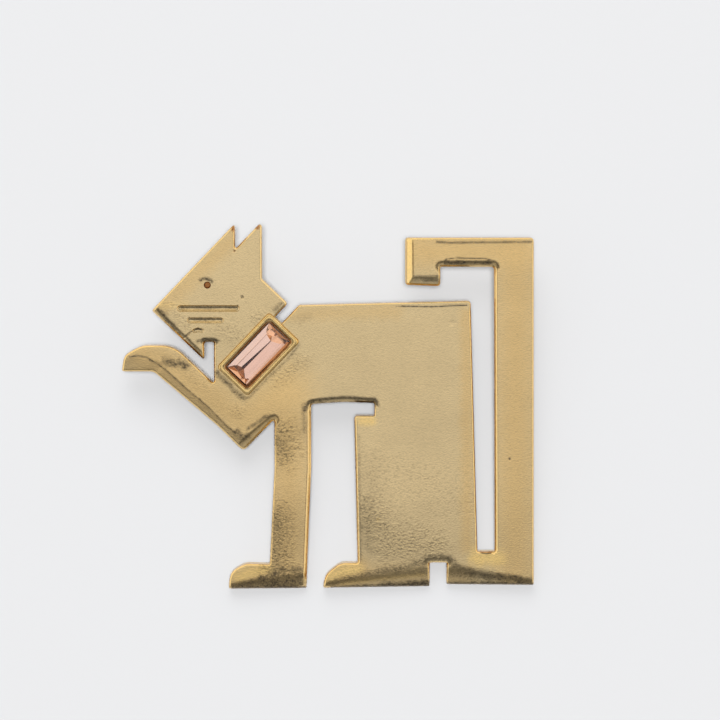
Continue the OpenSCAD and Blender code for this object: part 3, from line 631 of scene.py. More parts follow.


# Marks on the face by layer: a line, its half width, its strength and how ragged its edge is. Soot-and-shade
# marks paint shade as well as dirt, and rubbed-and-highlit marks paint highlights as well as wear
marks = {
    "soot": [
        # painted shade in the dimple over the eye
        ([(-15.1, 37.05), (-14.5, 37.2), (-13.8, 36.9)], 0.26, 0.82, 0.3),  # over the eye
        ([(-20.2, 33.5), (-18.15, 31.2), (-16.8, 30.2), (-15.2, 28.2)], 0.26, 0.55, 0.6),  # jaw
        ([(-19.8, 33.2), (-18.5, 31.9)], 0.55, 0.45, 0.9),
        ([(-15.5, 29.7), (-14.8, 29.95), (-13.1, 29.85)], 0.28, 0.7, 0.6),  # over the mouth
        # painted shade on the grooves' upper walls, with dirt
        ([(-17.4, 33.74), (-11.0, 33.74)], 0.25, 0.6, 0.6),  # grooves
        ([(-16.3, 32.34), (-12.8, 32.34)], 0.22, 0.6, 0.6),
        ([(-15.8, 31.1), (-15.45, 31.2), (-15.1, 31.1)], 0.14, 0.9, 0.3),
        ([(-16.0, 30.95), (-16.6, 30.6), (-16.9, 30.25)], 0.09, 0.45, 0.5),
        ([(-6.3, 33.5), (-5.6, 34.2)], 0.4, 0.5, 0.9),  # nape
        ([(-10.25, 34.95), (-10.15, 34.95)], 0.12, 0.9, 0.1),  # pits
        ([(21.58, 15.65), (21.62, 15.65)], 0.15, 1.0, 0.1),
        # dirt and painted shade along the arm's lower edge
        ([(-23.6, 27.85), (-22.7, 28.0), (-21.6, 27.8), (-20.6, 27.2), (-19.5, 26.45), (-18.3, 25.4),
          (-16.8, 24.0), (-15.0, 22.5), (-14.0, 21.6), (-12.3, 19.75), (-11.1, 18.8)],
         0.14, 0.72, 0.8),  # along the arm
        ([(-19.2, 27.3), (-16.9, 26.85)], 0.6, 0.75, 0.8),
        ([(-10.9, 18.9), (-10.1, 18.1), (-9.6, 18.4)], 0.5, 0.65, 0.6),  # elbow
        ([(-9.6, 19.25), (-8.4, 20.05), (-7.6, 20.7), (-6.5, 20.85)], 0.28, 0.6, 0.6),
        ([(-13.3, 26.0), (-12.0, 24.75), (-11.0, 23.65), (-9.95, 22.85)], 0.42, 0.62, 0.5),  # by the collar
        ([(-9.5, 23.0), (-7.2, 25.35), (-5.0, 27.45), (-3.5, 29.25)], 0.24, 0.45, 0.6),
        ([(-3.4, 32.2), (-2.2, 32.7)], 0.55, 0.25, 1.2),
        # painted shade in the crease along the back's top edge
        ([(8.0, 33.95), (12.2, 33.82), (14.3, 33.95), (16.4, 34.0)], 0.1, 1.0, 0.2),  # along the back
        ([(-2.95, 22.2), (-2.9, 21.0), (-2.85, 19.0)], 0.3, 0.4, 0.6),  # top of the foreleg
        # painted shade over the forefoot's lower part
        ([(-11.2, 0.35), (-9.7, 0.8), (-8.2, 1.25), (-6.8, 1.85), (-5.6, 2.25), (-3.4, 2.35)],
         0.42, 0.6, 0.6),  # forefoot
        ([(-10.2, 0.3), (-3.4, 0.6)], 0.45, 0.5, 0.6),
        ([(-7.6, 0.8), (-3.4, 1.1)], 0.8, 0.6, 0.6),
        # dirt and painted shade in the band along the belly's lower edge
        ([(-2.8, 21.5), (-2.45, 22.3), (-2.0, 22.6), (-0.1, 22.93), (2.3, 23.02), (5.5, 22.78), (5.9, 22.1)],
         0.26, 0.7, 0.5),  # belly
        ([(-1.9, 22.35), (5.3, 22.5)], 0.22, 0.75, 0.5),
        ([(3.66, 18.6), (3.88, 3.5)], 0.15, 0.36, 0.5),  # left of the haunch
        ([(4.5, 10.6), (4.6, 5.0)], 0.8, 0.2, 0.9),
        # painted shade: broad over the haunch's left part and the foreleg, heavier low on the foreleg
        ([(5.2, 15.0), (5.4, 5.0)], 1.9, 0.16, 0.5),
        ([(-5.0, 20.5), (-5.6, 9.0)], 2.6, 0.17, 0.3),
        ([(-6.6, 18.6), (-5.8, 16.8)], 1.4, 0.28, 1.0),  # foreleg's shading
        ([(-7.2, 8.5), (-6.4, 3.2)], 2.0, 0.32, 1.0),
        # painted shade, darker towards the bottom of the haunch and of the tail's foot
        ([(0.2, 0.75), (2.6, 1.35), (5.6, 2.1), (8.5, 2.45), (10.5, 3.1), (11.7, 3.6), (13.1, 3.9),
          (14.5, 3.6), (15.7, 2.6), (17.5, 1.95), (19.4, 1.5), (24.0, 1.1)], 0.48, 0.54, 0.7),
        ([(3.0, 0.15), (11.9, 0.5)], 0.5, 0.5, 0.8),
        ([(14.6, 1.9), (18.0, 1.0), (23.5, 0.6)], 0.85, 0.35, 0.9),
        # painted shade along the soles' down-facing lower edges
        ([(-11.5, 0.1), (-2.8, 0.1)], 0.2, 0.85, 0.5),
        ([(0.4, 0.1), (12.0, 0.25)], 0.3, 0.95, 0.4),
        ([(6.5, 0.3), (12.0, 0.6)], 0.6, 0.7, 0.6),
        ([(14.2, 0.55), (24.4, 0.55)], 0.27, 0.95, 0.4),  # sole
        ([(18.3, 4.34), (18.85, 4.27), (19.4, 4.34)], 0.09, 1.0, 0.1),  # foot of the slot
        ([(12.9, 41.52), (14.5, 41.43), (24.0, 41.55)], 0.19, 0.7, 0.3),  # top of the hook
        ([(10.3, 37.5), (13.0, 37.5)], 0.1, 0.7, 0.5),  # end of the hook
        ([(11.3, 37.1), (12.9, 36.9)], 0.3, 0.62, 0.7),
        # painted shade under the hook's bar
        ([(13.2, 38.95), (14.0, 39.5), (15.2, 39.65), (18.6, 39.57), (19.7, 39.3), (20.25, 38.5)],
         0.09, 0.8, 0.4),
        ([(13.9, 39.08), (19.3, 39.08)], 0.3, 0.8, 0.5),  # under the hook
        ([(10.2, 41.5), (10.2, 36.9)], 0.06, 0.25, 0.9),
    ],
    "rubbed": [
        ([(3.9, 20.2), (5.2, 20.2)], 0.55, 0.9, 0.4),  # step over the haunch
        ([(17.7, 3.8), (20.0, 3.8)], 1.2, 1.0, 0.4),  # foot of the slot
        # wear and painted highlight on the lit tops of the paws
        ([(0.4, 1.5), (1.8, 2.1), (3.4, 2.4)], 0.8, 0.9, 0.3),  # tops of the paws
        ([(-10.6, 1.4), (-9.6, 1.9), (-7.4, 2.4)], 0.8, 0.9, 0.3),
        # painted highlight on the hook's left edge, with wear
        ([(9.6, 41.6), (9.6, 36.8)], 0.5, 0.8, 0.2),  # left of the hook
        # painted highlight on the grooves' lower lips
        ([(-17.4, 33.42), (-11.0, 33.42)], 0.12, 0.75, 0.2),  # grooves
        ([(-16.3, 32.03), (-12.8, 32.03)], 0.11, 0.75, 0.2),
        ([(5.9, 8.4), (5.95, 8.45)], 0.16, 0.8, 0.2),
        ([(-1.2, 22.7), (-1.2, 22.2)], 0.06, 0.9, 0.3),
        ([(-16.8, 34.0), (-20.4, 34.0)], 0.5, 0.3, 0.6),
        ([(1.6, 0.7), (6.2, 1.25), (11.3, 1.7)], 0.28, 0.5, 0.6),
    ],
    "copper": [
        ([(-17.4, 33.42), (-11.0, 33.42)], 0.15, 0.36, 0.4),  # grooves
        ([(-16.3, 32.03), (-12.8, 32.03)], 0.14, 0.36, 0.4),
        ([(-11.15, 43.5), (-11.3, 43.0)], 0.3, 0.72, 0.6),  # tips of the ears
        ([(-8.2, 43.7), (-8.35, 43.2)], 0.32, 0.72, 0.6),
        ([(-11.15, 40.5), (-11.1, 40.4)], 0.12, 0.9, 0.2),
        ([(18.1, 4.45), (19.5, 4.45)], 0.1, 0.8, 0.2),
    ],
    "pebble": [
        ([(-10.9, 21.5), (-10.7, 21.4)], 1.0, 0.5, 0.4),
        ([(-5.6, 18.6), (-5.2, 16.4)], 2.0, 1.0, 0.5),  # foreleg
        ([(-6.4, 9.2), (-6.2, 3.5)], 2.2, 1.0, 0.4),
        ([(5.2, 9.0), (7.5, 5.6), (12.0, 5.2)], 2.4, 0.8, 0.5),  # foot of the haunch
        ([(5.5, 14.0), (14.0, 11.5)], 4.5, 0.33, 0.3),
        ([(-8.2, 32.5), (-6.4, 31.0)], 1.3, 0.6, 0.5),
        ([(-13.0, 31.8), (-9.2, 29.2)], 1.6, 0.45, 0.5),
        ([(-19.0, 34.0), (-16.5, 31.5)], 0.9, 0.4, 0.5),
        ([(-6.0, 25.0), (-3.2, 27.5)], 1.4, 0.5, 0.4),
        ([(-18.0, 28.0), (-15.0, 24.5)], 1.2, 0.35, 0.4),
        ([(2.0, 1.6), (12.0, 1.9), (23.0, 1.2)], 1.2, 0.4, 0.3),
        ([(-7.5, 1.0), (-3.5, 1.8)], 1.0, 0.6, 0.4),
    ],
    "warm": [
        # these also add to the painted highlight on the paws' tops
        ([(0.2, 1.2), (3.4, 2.2)], 1.6, 1.0, 0.2),  # paws
        ([(-10.8, 1.2), (-8.0, 1.8)], 1.6, 1.0, 0.2),
        ([(-22.0, 28.0), (-10.0, 20.0), (-5.0, 24.0)], 3.5, 0.9, 0.2),  # arm and chest
        ([(-5.0, 20.0), (-5.0, 1.0)], 3.5, 0.9, 0.2),  # foreleg
        ([(22.3, 40.0), (22.3, 1.5)], 2.6, 0.85, 0.2),  # tail
        ([(10.0, 40.5), (22.0, 40.5)], 2.4, 0.9, 0.2),
        ([(16.4, 33.0), (16.6, 5.0)], 0.9, 0.7, 0.4),  # right of the body
        ([(1.0, 1.5), (16.0, 1.5)], 1.6, 0.5, 0.3),
        ([(-4.0, 33.0), (8.0, 33.3)], 1.0, 0.5, 0.4),
        ([(-20.0, 33.5), (-11.2, 42.0)], 1.2, 0.6, 0.4),  # brow
    ],
}


markLook = {
    "ragged": [(0.5, 11, 0.6), (0.21, 12, 0.4)],    # noise in the marks' edges: size, seed and share
    "raggedness": 0.7,
    "reach": 1.6,                 # a mark ends this many half widths from its line
    "rubbedAndHighlitEdge": (0.75, 1.1),    # rubbed gold and painted highlight along the outline: strength, and share of the band's width
    "offFloor": (0.2, 1.0),       # it rises between these heights over the soles, so their down-facing edges get no painted highlight
    "copperEdge": (0.6, 0.05),    # copper along the outline: strength and width
    "leastPebble": 0.13,
}


def faceLayers(x, v, edge):
    # each layer from 0 to 1: what its marks leave uncovered is multiplied up, so that marks may cross
    look = markLook
    ragged = sum(cloud(x, v, size, seed) * part for size, seed, part in look["ragged"])
    layers = {}
    for layer, strokes in marks.items():
        clear = np.ones(x.shape)
        for line, half, strength, rough in strokes:
            gap = fromLine(x, v, line)[0] / half + ragged * rough * look["raggedness"]
            clear *= 1 - strength * (1 - smooth(0.0, look["reach"], gap))
        layers[layer] = 1 - clear
    # rubbed gold with painted highlight along the edge band, kept off the down-facing soles
    strength, wide = look["rubbedAndHighlitEdge"]
    rubbed = strength * smooth(*look["offFloor"], v) * (1 - smooth(0.0, wide, edge / bandWidth(x, v)))
    layers["rubbed"] = np.maximum(layers["rubbed"], rubbed)
    strength, wide = look["copperEdge"]
    middle, more, wideEye = eyeLook["copper"]
    copper = inEye(x, v, "copperEdge") * (middle + more * smooth(0.0, wideEye, fromEye(x, v)))
    copper = np.maximum(copper, strength * (1 - smooth(0.0, wide, edge)))
    layers["copper"] = np.maximum(layers["copper"], copper)
    layers["pebble"] = np.maximum(layers["pebble"], look["leastPebble"])
    return {layer: layers[layer] for layer in castLayers}


def aroundLine(line, gap, step):
    # points at one distance round an open line, its ends rounded
    line = np.array(line, float)
    rows = []
    for k in range(len(line) - 1):
        side = line[k + 1] - line[k]
        length = np.linalg.norm(side)
        along = side / length
        square = np.array([-along[1], along[0]])
        t = np.linspace(0, 1, max(2, int(length / step)))[:, None]
        rows += [line[k] + side * t + square * gap, line[k] + side * t - square * gap]
        count = max(figureLook["ringLeast"], int(2 * math.pi * gap / step))
        turn = np.linspace(0, 2 * math.pi, count, endpoint=False)
        circle = gap * np.stack([np.cos(turn), np.sin(turn)], axis=1)
        rows += [line[k] + circle, line[k + 1] + circle]
    rows = np.concatenate(rows)
    return rows[fromLine(rows[:, 0], rows[:, 1], line)[0] > gap - figureLook["ringSlack"]]


def facePoints():
    # points across the face: rows along the outline, rings round each mark, and an even grid elsewhere
    look = figureLook
    inward = inwardNormals(outline)
    width = bandWidth(outline[:, 0], outline[:, 1])[:, None]
    lessRow, lessRing, moreGrid = look["clear"]
    rows = [(outline + inward * width * row, width[:, 0] * row - lessRow) for row in look["bandRows"]]
    rings = []
    for line, wide, depth in grooves.values():
        rings += [aroundLine(line, wide * share, look["ringStep"]) for share in look["grooveRings"]]
    turn = np.linspace(0, 2 * math.pi, look["ringCount"], endpoint=False)
    circle = np.stack([np.cos(turn), np.sin(turn)], axis=1)
    rings += [circle * eyeLook["radius"] * share + eyeLook["at"] for share in look["eyeRings"]]
    rings = np.concatenate(rings)
    low, high = outline.min(axis=0), outline.max(axis=0)
    step = look["gridStep"]
    gx, gv = np.meshgrid(np.arange(low[0], high[0], step),
                         np.arange(low[1], high[1], step * look["gridRow"]))
    gx = gx + (np.arange(gx.shape[0]) % 2)[:, None] * step / 2
    grid = np.stack([gx.ravel(), gv.ravel()], axis=1)
    busy = np.zeros(len(grid), bool)
    for line, wide, depth in grooves.values():
        busy |= fromLine(grid[:, 0], grid[:, 1], line)[0] < wide * look["grooveClear"]
    busy |= np.hypot(*(grid - eyeLook["at"]).T) < eyeLook["radius"] * look["eyeClear"]
    grid = grid[~busy]
    pastRows = bandWidth(grid[:, 0], grid[:, 1]) * look["bandRows"][-1] + moreGrid
    points = np.concatenate([row for row, gap in rows] + [rings, grid])
    least = np.concatenate([gap for row, gap in rows] + [np.full(len(rings), lessRing), pastRows])
    along, across = toCollar(points[:, 0], points[:, 1])
    inset = collarLook["pitInset"] - look["pitClear"]
    inPit = ((np.abs(along) < collarLook["outerL"] / 2 - inset)
             & (np.abs(across) < collarLook["outerW"] / 2 - inset))
    keep = isInside(points, rim) & ~inPit
    points, least = points[keep], least[keep]
    edge = nearest(points, outline)
    return points[edge > least], edge[edge > least]


def makeFigure():
    # back face, side wall up to the rounded edge, front face with its marks, and the pit under the stone
    look = figureLook
    inner, innerEdge = facePoints()
    pit = collarRing(collarLook["pitInset"])
    n, m = len(outline), len(pit)
    front = np.concatenate([outline, pit, inner])
    edge = np.concatenate([np.zeros(n), nearest(pit, outline), innerEdge])
    height = faceHeight(front[:, 0], front[:, 1], edge)
    points = [np.column_stack([front, height])]
    values = [np.stack(list(faceLayers(front[:, 0], front[:, 1], edge).values()), axis=1)]
    triangles = [fillLoop(outline, pit, inner)]
    quads = []

    def addPoints(xy, w, *layers):
        # more points, with one value each for castLayers; gives back the number of the first
        first = sum(len(p) for p in points)
        points.append(np.column_stack([xy, np.broadcast_to(w, len(xy))]))
        size, seed, share = look["patchy"]
        patches = 1 + share * cloud(xy[:, 0], xy[:, 1], size, seed)
        values.append(np.tile(layers, (len(xy), 1)) * patches[:, None])
        return first

    def addBelt(lower, upper, count):
        # quads between two closed rows of points that run anticlockwise, facing outwards
        here = np.arange(count)
        following = (here + 1) % count
        quads.append(np.stack([lower + here, lower + following, upper + following, upper + here], axis=1))

    # side wall, from under the front edge down to the back's rounded edge
    above = 0
    soot, rubbed, copper, pebble, warm = look["wallLayers"]
    for share in reversed(look["wallRows"]):
        row = addPoints(outline, look["backRound"] + share * (height[:n] - look["backRound"]),
                        soot, rubbed, copper + look["wallCopper"] * share, pebble, warm)
        addBelt(row, above, n)
        above = row
    inset = outline + inwardNormals(outline) * look["backRound"]
    row = addPoints(inset, 0.0, *look["backRimLayers"])
    addBelt(row, above, n)
    low, high = outline.min(axis=0), outline.max(axis=0)
    grid = np.stack(np.meshgrid(np.arange(low[0], high[0], look["backStep"]),
                                np.arange(low[1], high[1], look["backStep"])), axis=-1).reshape(-1, 2)
    grid = grid[isInside(grid, rim)]
    grid = grid[nearest(grid, outline) > look["backClear"]]
    back = fillLoop(inset, None, grid)[:, ::-1]
    start = addPoints(grid, 0.0, *look["backLayers"])
    triangles.append(np.where(back < n, back + row, back - n + start))
    # the pit's wall and floor
    floor = addPoints(pit, collarLook["pitFloor"], *look["pitLayers"])
    addBelt(n, floor, m)
    middle = addPoints(collarMiddle[None, :], collarLook["pitFloor"], *look["pitLayers"])
    ring = np.arange(m)
    triangles.append(np.stack([floor + ring, floor + (ring + 1) % m, np.full(m, middle)], axis=1))
    # the collar: its profile carried round a rounded rectangle, closed under the plate's face
    profile = collarLook["profile"]
    rows = [addPoints(collarRing(-out), w, *layers) for out, w, *layers in profile]
    for lower, upper in zip(rows, rows[1:] + rows[:1]):
        addBelt(lower, upper, m)
    layers = dict(zip(castLayers, np.concatenate(values).T))
    return makePiece("castFigure", toWorld(np.concatenate(points)),
                     [np.concatenate(triangles), np.concatenate(quads)], layers, [castMetal()])


figure = makeFigure()
figure.data.set_sharp_from_angle(angle=math.radians(figureLook["sharpAngle"]))
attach(figure, "root")
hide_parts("figure")


# The stone: clear glass over a foiled back, its facets given by their corners

stoneLook = {
    "tint": (1.0, 0.98, 0.965, 1),
    "foilRoughness": 0.1,
    # colour of each kind of foiled facet, painted with the light and shade it shows: rose, pale rose, keel,
    # line, brown, peach, orange, rim
    "foil": [(0.87, 0.55, 0.43, 1), (0.89, 0.61, 0.50, 1), (0.62, 0.36, 0.33, 1), (0.82, 0.52, 0.43, 1),
             (0.44, 0.15, 0.05, 1), (0.94, 0.51, 0.30, 1), (0.62, 0.25, 0.09, 1), (0.26, 0.09, 0.03, 1)],
    "foilSpread": 0.05,      # what the blotches add to it
    # noise: its size in millimetres, its detail and how rough it is
    "cloudy": (1.3, 2.0, 0.5),       # slow change of the glass's tint
    "streaks": (0.22, 3.0, 0.6),     # fine lines of the foil, by their width
    "blotches": (0.46, 1.0, 0.5),    # brown, at both ends
    "cloudyShare": 0.08,
    "streakLength": 24.0,            # to its width
    "streakShare": 0.2,
    "blotchLevels": (0.59, 0.68),
    "blotchShare": 0.6,
    "tilt": 0.0147,          # how much the foil falls along the collar and across it, to shine upwards
    "spots": (0.17, 0.045, 0.017, 1),
    "fit": 0.13,             # how far the seen stone stays inside the CAD stone's sides
    "crown": (0.75, 0.45),   # width and height of the bevel round the table
    "girdle": 0.15,
    "rim": (0.30, 0.10),     # width and rise of the foil's rim
    "wideRim": (0.16, 0.2),  # how much wider it is along the lower side, and how much of that it rises there
    "spotEdge": (0.6, 1.3, 0.85),    # a spot fades between these shares of its radius, and its strength
    # brown spots of the foil: along the collar, across it, radius; the last four, at the corners, are
    # painted shade that rounds the dark rim
    "spotsAt": [(3.11, 0.12, 0.17), (3.22, -1.25, 0.2), (2.42, 0.3, 0.08), (-2.96, -1.1, 0.12),
                (3.9, 1.9, 0.55), (-3.9, 1.9, 0.6), (-3.9, -1.9, 0.5), (3.9, -1.9, 0.6)],
    "foilLift": 0.17,        # the foil over the girdle's lower edge, where the spots are
    # the back's corners: along the collar, across it, and height over the girdle's lower edge
    "corners": {
        "lineL": (-2.62, 0.95, 0.22), "lineR": (2.45, 0.95, 0.22), "foldL": (-2.60, 0.88, 0.215),
        "foldR": (2.43, 0.89, 0.215), "crestL": (-2.42, 0.42, 0.21), "crestR": (2.2, 0.07, 0.21),
        "keelL": (-2.38, 0.03, -0.06), "keelR": (2.2, 0.0, 0.04), "broadL": (-2.4, 0.02, 0.18),
        "broadR": (2.2, -0.01, 0.18), "arcL": (-2.55, -0.15, 0.18), "arcLow": (-3.1, -0.8, 0.17),
        "innerUp": (-3.45, 1.15, 0.12), "innerMid": (-3.1, 0.35, 0.16), "innerLow": (-3.3, -0.75, 0.13),
        "toe": (-3.55, -1.35, 0.09), "toeUp": (-3.0, -1.1, 0.17), "seamUp": (2.9, 1.3, 0.21),
        "seamLow": (2.7, -1.0, 0.17), "starA": (2.75, 0.35, 0.20), "starB": (3.15, -0.3, 0.18),
        "starC": (3.3, 0.9, 0.15), "starD": (3.25, -1.2, 0.16),
    },
    # its facets: a pale side with a fine line, a steep keel painted dark, a broad rose side, and the two
    # ends
    "facets": [
        (1, "r0 r1 lineL lineR"), (3, "lineR lineL foldL foldR"), (1, "foldR foldL crestL crestR"),
        (2, "crestR crestL keelL keelR"), (3, "keelR keelL broadL broadR"),
        (0, "broadR broadL arcL seamLow"), (0, "seamLow arcL arcLow toeUp"), (0, "seamLow toeUp r2 r3"),
        (4, "r1 innerUp innerMid foldL lineL"), (4, "foldL innerMid broadL keelL crestL"),
        (4, "innerMid innerLow arcLow arcL broadL"), (5, "r1 r2 toe innerUp"),
        (5, "innerUp toe innerLow innerMid"), (5, "toe arcLow innerLow"), (4, "toe toeUp arcLow"),
        (6, "toe r2 toeUp"), (5, "r0 lineR seamUp"), (5, "lineR foldR starA seamUp"),
        (6, "foldR crestR keelR broadR starA"), (5, "broadR seamLow starB starA"),
        (5, "seamUp starA starC"), (5, "starA starB starC"), (5, "r0 seamUp starC"),
        (6, "r0 starC starB r3"), (4, "starB starD r3"), (5, "seamLow starD starB"),
        (6, "seamLow r3 starD"),
    ],
}


def stoneMaterials():
    # faintly cloudy glass, and foil: a colour for each facet that paints its light and shade, fine lines,
    # brown blotches and round spots
    look = stoneLook
    glass, root = newMaterial("stoneGlass")
    where = root.pick("ShaderNodeTexCoord", {}, "Object")
    tint = noise(root, where, *look["cloudy"]).vary(look["cloudyShare"], look["tint"])
    finishMaterial(root, Base_Color=tint, Roughness=0.0, IOR=1.52, Transmission_Weight=1.0)
    foil, root = newMaterial("stoneFoil")
    where = root.pick("ShaderNodeTexCoord", {}, "Object")
    kind = root.pick("ShaderNodeAttribute", {"attribute_name": "kind"}, "Fac")
    count = len(look["foil"])
    stops = [(k / count, colour) for k, colour in enumerate(look["foil"])]
    colour = root.pick("ShaderNodeValToRGB", {"stops": stops, "interpolation": "CONSTANT"}, 0,
                       Fac=kind / count + 0.5 / count)
    along = root.pick("ShaderNodeMapping", {"vector_type": "TEXTURE"}, 0, Vector=where,
                      Rotation=(0, 0, stoneTurn), Scale=(look["streakLength"], 1.0, 1.0))
    colour = noise(root, along, *look["streaks"]).vary(look["streakShare"], colour)
    mottle = noise(root, where, *look["blotches"])
    atEnds = kind.between(3.5, 4.0) - kind.between(6.5, 7.0)    # facets of the kinds brown, peach and orange
    brown = mottle.between(*look["blotchLevels"]) * atEnds * look["blotchShare"]
    colour = brown.blend(colour, look["spots"])
    level = stoneTop - look["crown"][1] - look["girdle"] + look["foilLift"]
    inner, outer, strength = look["spotEdge"]
    for spotAlong, spotAcross, radius in look["spotsAt"]:
        place = toWorld(np.array([[*fromCollar(spotAlong, spotAcross), level]]))[0] * mm
        far = root.pick("ShaderNodeVectorMath", {"operation": "DISTANCE"}, 1, _0=where, _1=tuple(place))
        spot = (1.0 - far.between(radius * inner * mm, radius * outer * mm)) * strength
        colour = spot.blend(colour, look["spots"])
    finishMaterial(root, Base_Color=colour, Metallic=1.0,
                   Roughness=look["foilRoughness"] + mottle * look["foilSpread"])
    return [glass, foil]


def makeStone():
    # flat faces on named corners: the table and its bevels, the girdle, the foil's rim and its facets
    look = stoneLook
    halfL, halfW = stoneL / 2 - look["fit"], stoneW / 2 - look["fit"]
    wide, tall = look["crown"]
    girdleTop = stoneTop - tall
    girdleLow = girdleTop - look["girdle"]
    rimWide, rimRise = look["rim"]
    wider, share = look["wideRim"]
    # corners by name: distance along and across the collar, and height over the plate's back
    corners, numbers, faces, kinds = [], {}, [], []

    def corner(name, along, across, w):
        numbers[name] = len(corners)
        corners.append((along, across, w))

    def face(kind, names):
        # kind is -1 for glass, or the number of a foil's colour
        faces.append([numbers[name] for name in names.split()])
        kinds.append(kind)

    # the table t, the girdle's upper and lower edges u and g, and the foil's rim r
    for level, a, c, w in (("t", halfL - wide, halfW - wide, stoneTop), ("u", halfL, halfW, girdleTop),
                           ("g", halfL, halfW, girdleLow),
                           ("r", halfL - rimWide, halfW - rimWide, girdleLow + rimRise)):
        for k, (east, north) in enumerate(((1, 1), (-1, 1), (-1, -1), (1, -1))):
            fall = look["tilt"] * (east * a + north * c) if level == "r" else 0.0
            inwards = wider if level == "r" and north < 0 else 0.0
            corner(level + str(k), east * a, north * (c - inwards), w - fall + inwards * share)
    face(-1, "t0 t1 t2 t3")
    for k in range(4):
        here, after = str(k), str((k + 1) % 4)
        face(-1, "u%s u%s t%s t%s" % (here, after, after, here))
        face(-1, "g%s g%s u%s u%s" % (here, after, after, here))
        # the foil's rim is painted dark, orange on the lower side: painted shade at the stone's edge under
        # the collar
        face(6 if k == 2 else 7, "r%s r%s g%s g%s" % (here, after, after, here))
    for name, (along, across, lift) in look["corners"].items():
        corner(name, along, across, girdleLow + lift - look["tilt"] * (along + across))
    for kind, names in look["facets"]:
        face(kind, names)
    points = np.array(corners)
    x, v = fromCollar(points[:, 0], points[:, 1])
    world = toWorld(np.stack([x, v, points[:, 2]], axis=1)) * mm
    mesh = bpy.data.meshes.new("facetedStone")
    mesh.from_pydata(world.tolist(), [], faces)
    for material in stoneMaterials():
        mesh.materials.append(material)
    mesh.polygons.foreach_set("material_index", np.array([0 if kind < 0 else 1 for kind in kinds], np.int32))
    values = np.maximum(kinds, 0).astype(np.float32)
    mesh.attributes.new("kind", "FLOAT", "FACE").data.foreach_set("value", values)
    work = bmesh.new()
    work.from_mesh(mesh)
    bmesh.ops.recalc_face_normals(work, faces=work.faces)
    print("stone edges without two faces", sum(not e.is_manifold for e in work.edges))
    work.to_mesh(mesh)
    work.free()
    piece = bpy.data.objects.new("facetedStone", mesh)
    bpy.context.scene.collection.objects.link(piece)
    return piece


stone = makeStone()
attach(stone, "root")
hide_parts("stone")


# The pin on the back keeps its CAD shape

pinLook = {
    "colour": (0.72, 0.56, 0.31, 1),
    "dull": (0.36, 0.27, 0.15, 1),
    "dullAt": (0.52, 0.74, 0.6),    # two levels of the noise between which it dulls, and the share
    "roughness": 0.26,
    "rougher": 0.12,                # what the dull spots add to it
    # noise: its size in millimetres, its detail and how rough it is
    "spots": (1.1, 3.0, 0.6),
    "lines": (0.09, 2.0, 0.6),      # fine lines along the wire
    "lineWidth": 0.06,              # to its length
    "lineShare": 0.16,              # in the colour
    "drawn": 0.0015,                # their height
}


def pinMetal():
    # plain gold colour with fine lines along the wire, and duller spots
    look = pinLook
    material, root = newMaterial("pinMetal")
    where = root.pick("ShaderNodeTexCoord", {}, "Object")
    stretched = root.pick("ShaderNodeMapping", {}, 0, Vector=where, Scale=(look["lineWidth"], 1.0, 1.0))
    lines = noise(root, stretched, *look["lines"])
    spots = noise(root, where, *look["spots"])
    low, high, share = look["dullAt"]
    colour = (spots.between(low, high) * share).blend(look["colour"], look["dull"])
    colour = lines.vary(look["lineShare"], colour)
    relief = lines * look["drawn"]
    normal = root.pick("ShaderNodeBump", {}, "Normal", Height=relief, Strength=1.0, Distance=mm)
    roughness = look["roughness"] + spots * look["rougher"]
    finishMaterial(root, Base_Color=colour, Metallic=1.0, Roughness=roughness, Normal=normal)
    return material


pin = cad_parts["pin_back"]
pin.data.materials.clear()
pin.data.materials.append(pinMetal())


# Floor, light and camera

studio = {
    "floor": (0.247, 0.249, 0.254, 1),
    "size": 700.0,           # half of the floor's side
    "under": 0.01,           # the floor is this far under the part, so that their faces don't mix
    "height": 400.0,         # camera over the floor
    "at": (3.766, 5.602),    # the point of the floor that it looks down on
    "field": 86.4,           # width of the floor that the picture takes in
    "sensor": 36.0,
    "clip": 0.01,            # metres from the camera
    # lamps that only the floor answers to: place in metres, width and power
    "lamps": {"above": ((0.0, 0.0, 2.2), 0.5, 112), "back": ((-0.25, 1.9, 1.7), 2.0, 58)},
}


def makeStudio():
    # a plain floor, a camera straight over it, and lamps that light the floor alone
    floor, root = newMaterial("floor")
    finishMaterial(root, Base_Color=studio["floor"], Roughness=1.0, Specular_IOR_Level=0.0)
    square = np.array([[-1, -1], [1, -1], [1, 1], [-1, 1]]) * studio["size"]
    corners = np.column_stack([square, np.full(4, -studio["under"])])
    ground = makePiece("ground", corners, [np.array([[0, 1, 2, 3]])], {}, [floor])
    camera = bpy.data.cameras.new("camera")
    camera.sensor_width = studio["sensor"]
    camera.lens = studio["sensor"] * studio["height"] / studio["field"]
    camera.clip_start = studio["clip"]
    eye = bpy.data.objects.new("camera", camera)
    eye.location = (studio["at"][0] * mm, studio["at"][1] * mm, studio["height"] * mm)
    bpy.context.scene.collection.objects.link(eye)
    bpy.context.scene.camera = eye
    for name, (place, width, power) in studio["lamps"].items():
        lamp = bpy.data.lights.new(name, "AREA")
        lamp.shape = "DISK"
        lamp.size = width
        lamp.energy = power
        light = bpy.data.objects.new(name, lamp)
        light.location = place
        light.rotation_euler = (-Vector(place)).to_track_quat("-Z", "Y").to_euler()
        light.visible_glossy = False
        light.visible_transmission = False
        bpy.context.scene.collection.objects.link(light)


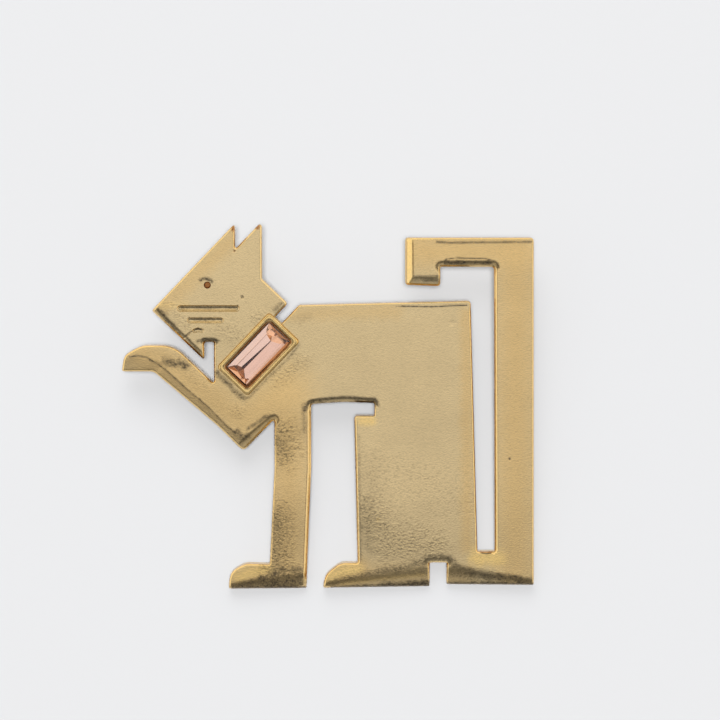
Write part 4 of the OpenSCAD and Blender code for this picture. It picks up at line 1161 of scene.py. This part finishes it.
sky = {
    "above": 1.03,      # soft box overhead
    "ring": 0.13,       # dark gap round it
    "walls": 1.15,      # sides and back
    "front": 0.12,      # wall towards the animal's feet
    "strip": 0.62,      # paler strip on that wall
    "sideFrom": (-0.85, -0.15),    # y of a level direction, from the front wall to the other three
    "leastLevel": 1e-4,            # straight up, a direction has this much of its square level
    # degrees from straight up: where the box fades at the front and at the sides, and the walls' upper edges
    "boxFront": (4.0, 34.0),
    "boxSides": (19.0, 31.0),
    "wallEdge": (42.0, 55.0),
    "stripEdges": (38.0, 48.0, 60.0, 72.0),
    "frontColour": (0.97, 0.98, 1.0, 1),
    "sideColour": (1.0, 0.97, 0.92, 1),
    "seen": (0.863, 0.863, 0.863, 1),    # plain grey that the camera sees past the floor
}


def makeSky():
    # radiance by direction: tilt is the angle from straight up, heading the y of the direction laid level,
    # and side is 1 on all walls but the front one
    world = bpy.data.worlds.new("studio")
    world.use_nodes = True
    bpy.context.scene.world = world
    world.node_tree.nodes.clear()
    root = Knot(world.node_tree, None)
    direction = root.pick("ShaderNodeTexCoord", {}, "Generated")
    parts = root.node("ShaderNodeSeparateXYZ", {}, Vector=direction)
    x, y, z = (Knot(world.node_tree, parts.outputs[k]) for k in range(3))
    tilt = z.math("ARCCOSINE") * (180 / math.pi)
    heading = y / (1.0 - z * z).math("MAXIMUM", sky["leastLevel"]).math("SQRT")
    side = heading.between(*sky["sideFrom"])
    (low, high), (lowSides, highSides) = sky["boxFront"], sky["boxSides"]
    above = 1.0 - tilt.between(low + side * (lowSides - low), high - side * (high - highSides))
    wall = tilt.between(*sky["wallEdge"])
    stripEdges = sky["stripEdges"]
    strip = tilt.between(*stripEdges[:2]) * (1.0 - tilt.between(*stripEdges[2:]))
    front = sky["front"] + strip * (sky["strip"] - sky["front"])
    walls = side * sky["walls"] + (1.0 - side) * front
    around = sky["ring"] + (walls - sky["ring"]) * wall
    bright = above * sky["above"] + (1.0 - above) * around
    colour = side.blend(sky["frontColour"], sky["sideColour"])
    seen = root.pick("ShaderNodeLightPath", {}, "Is Camera Ray")
    glow = root.pick("ShaderNodeBackground", {}, 0, Color=colour, Strength=bright)
    plain = root.pick("ShaderNodeBackground", {}, 0, Color=sky["seen"], Strength=1.0)
    both = root.pick("ShaderNodeMixShader", {}, 0, _0=seen, _1=glow, _2=plain)
    root.node("ShaderNodeOutputWorld", {}, Surface=both)


makeStudio()
makeSky()
bpy.context.scene.view_settings.view_transform = "Standard"
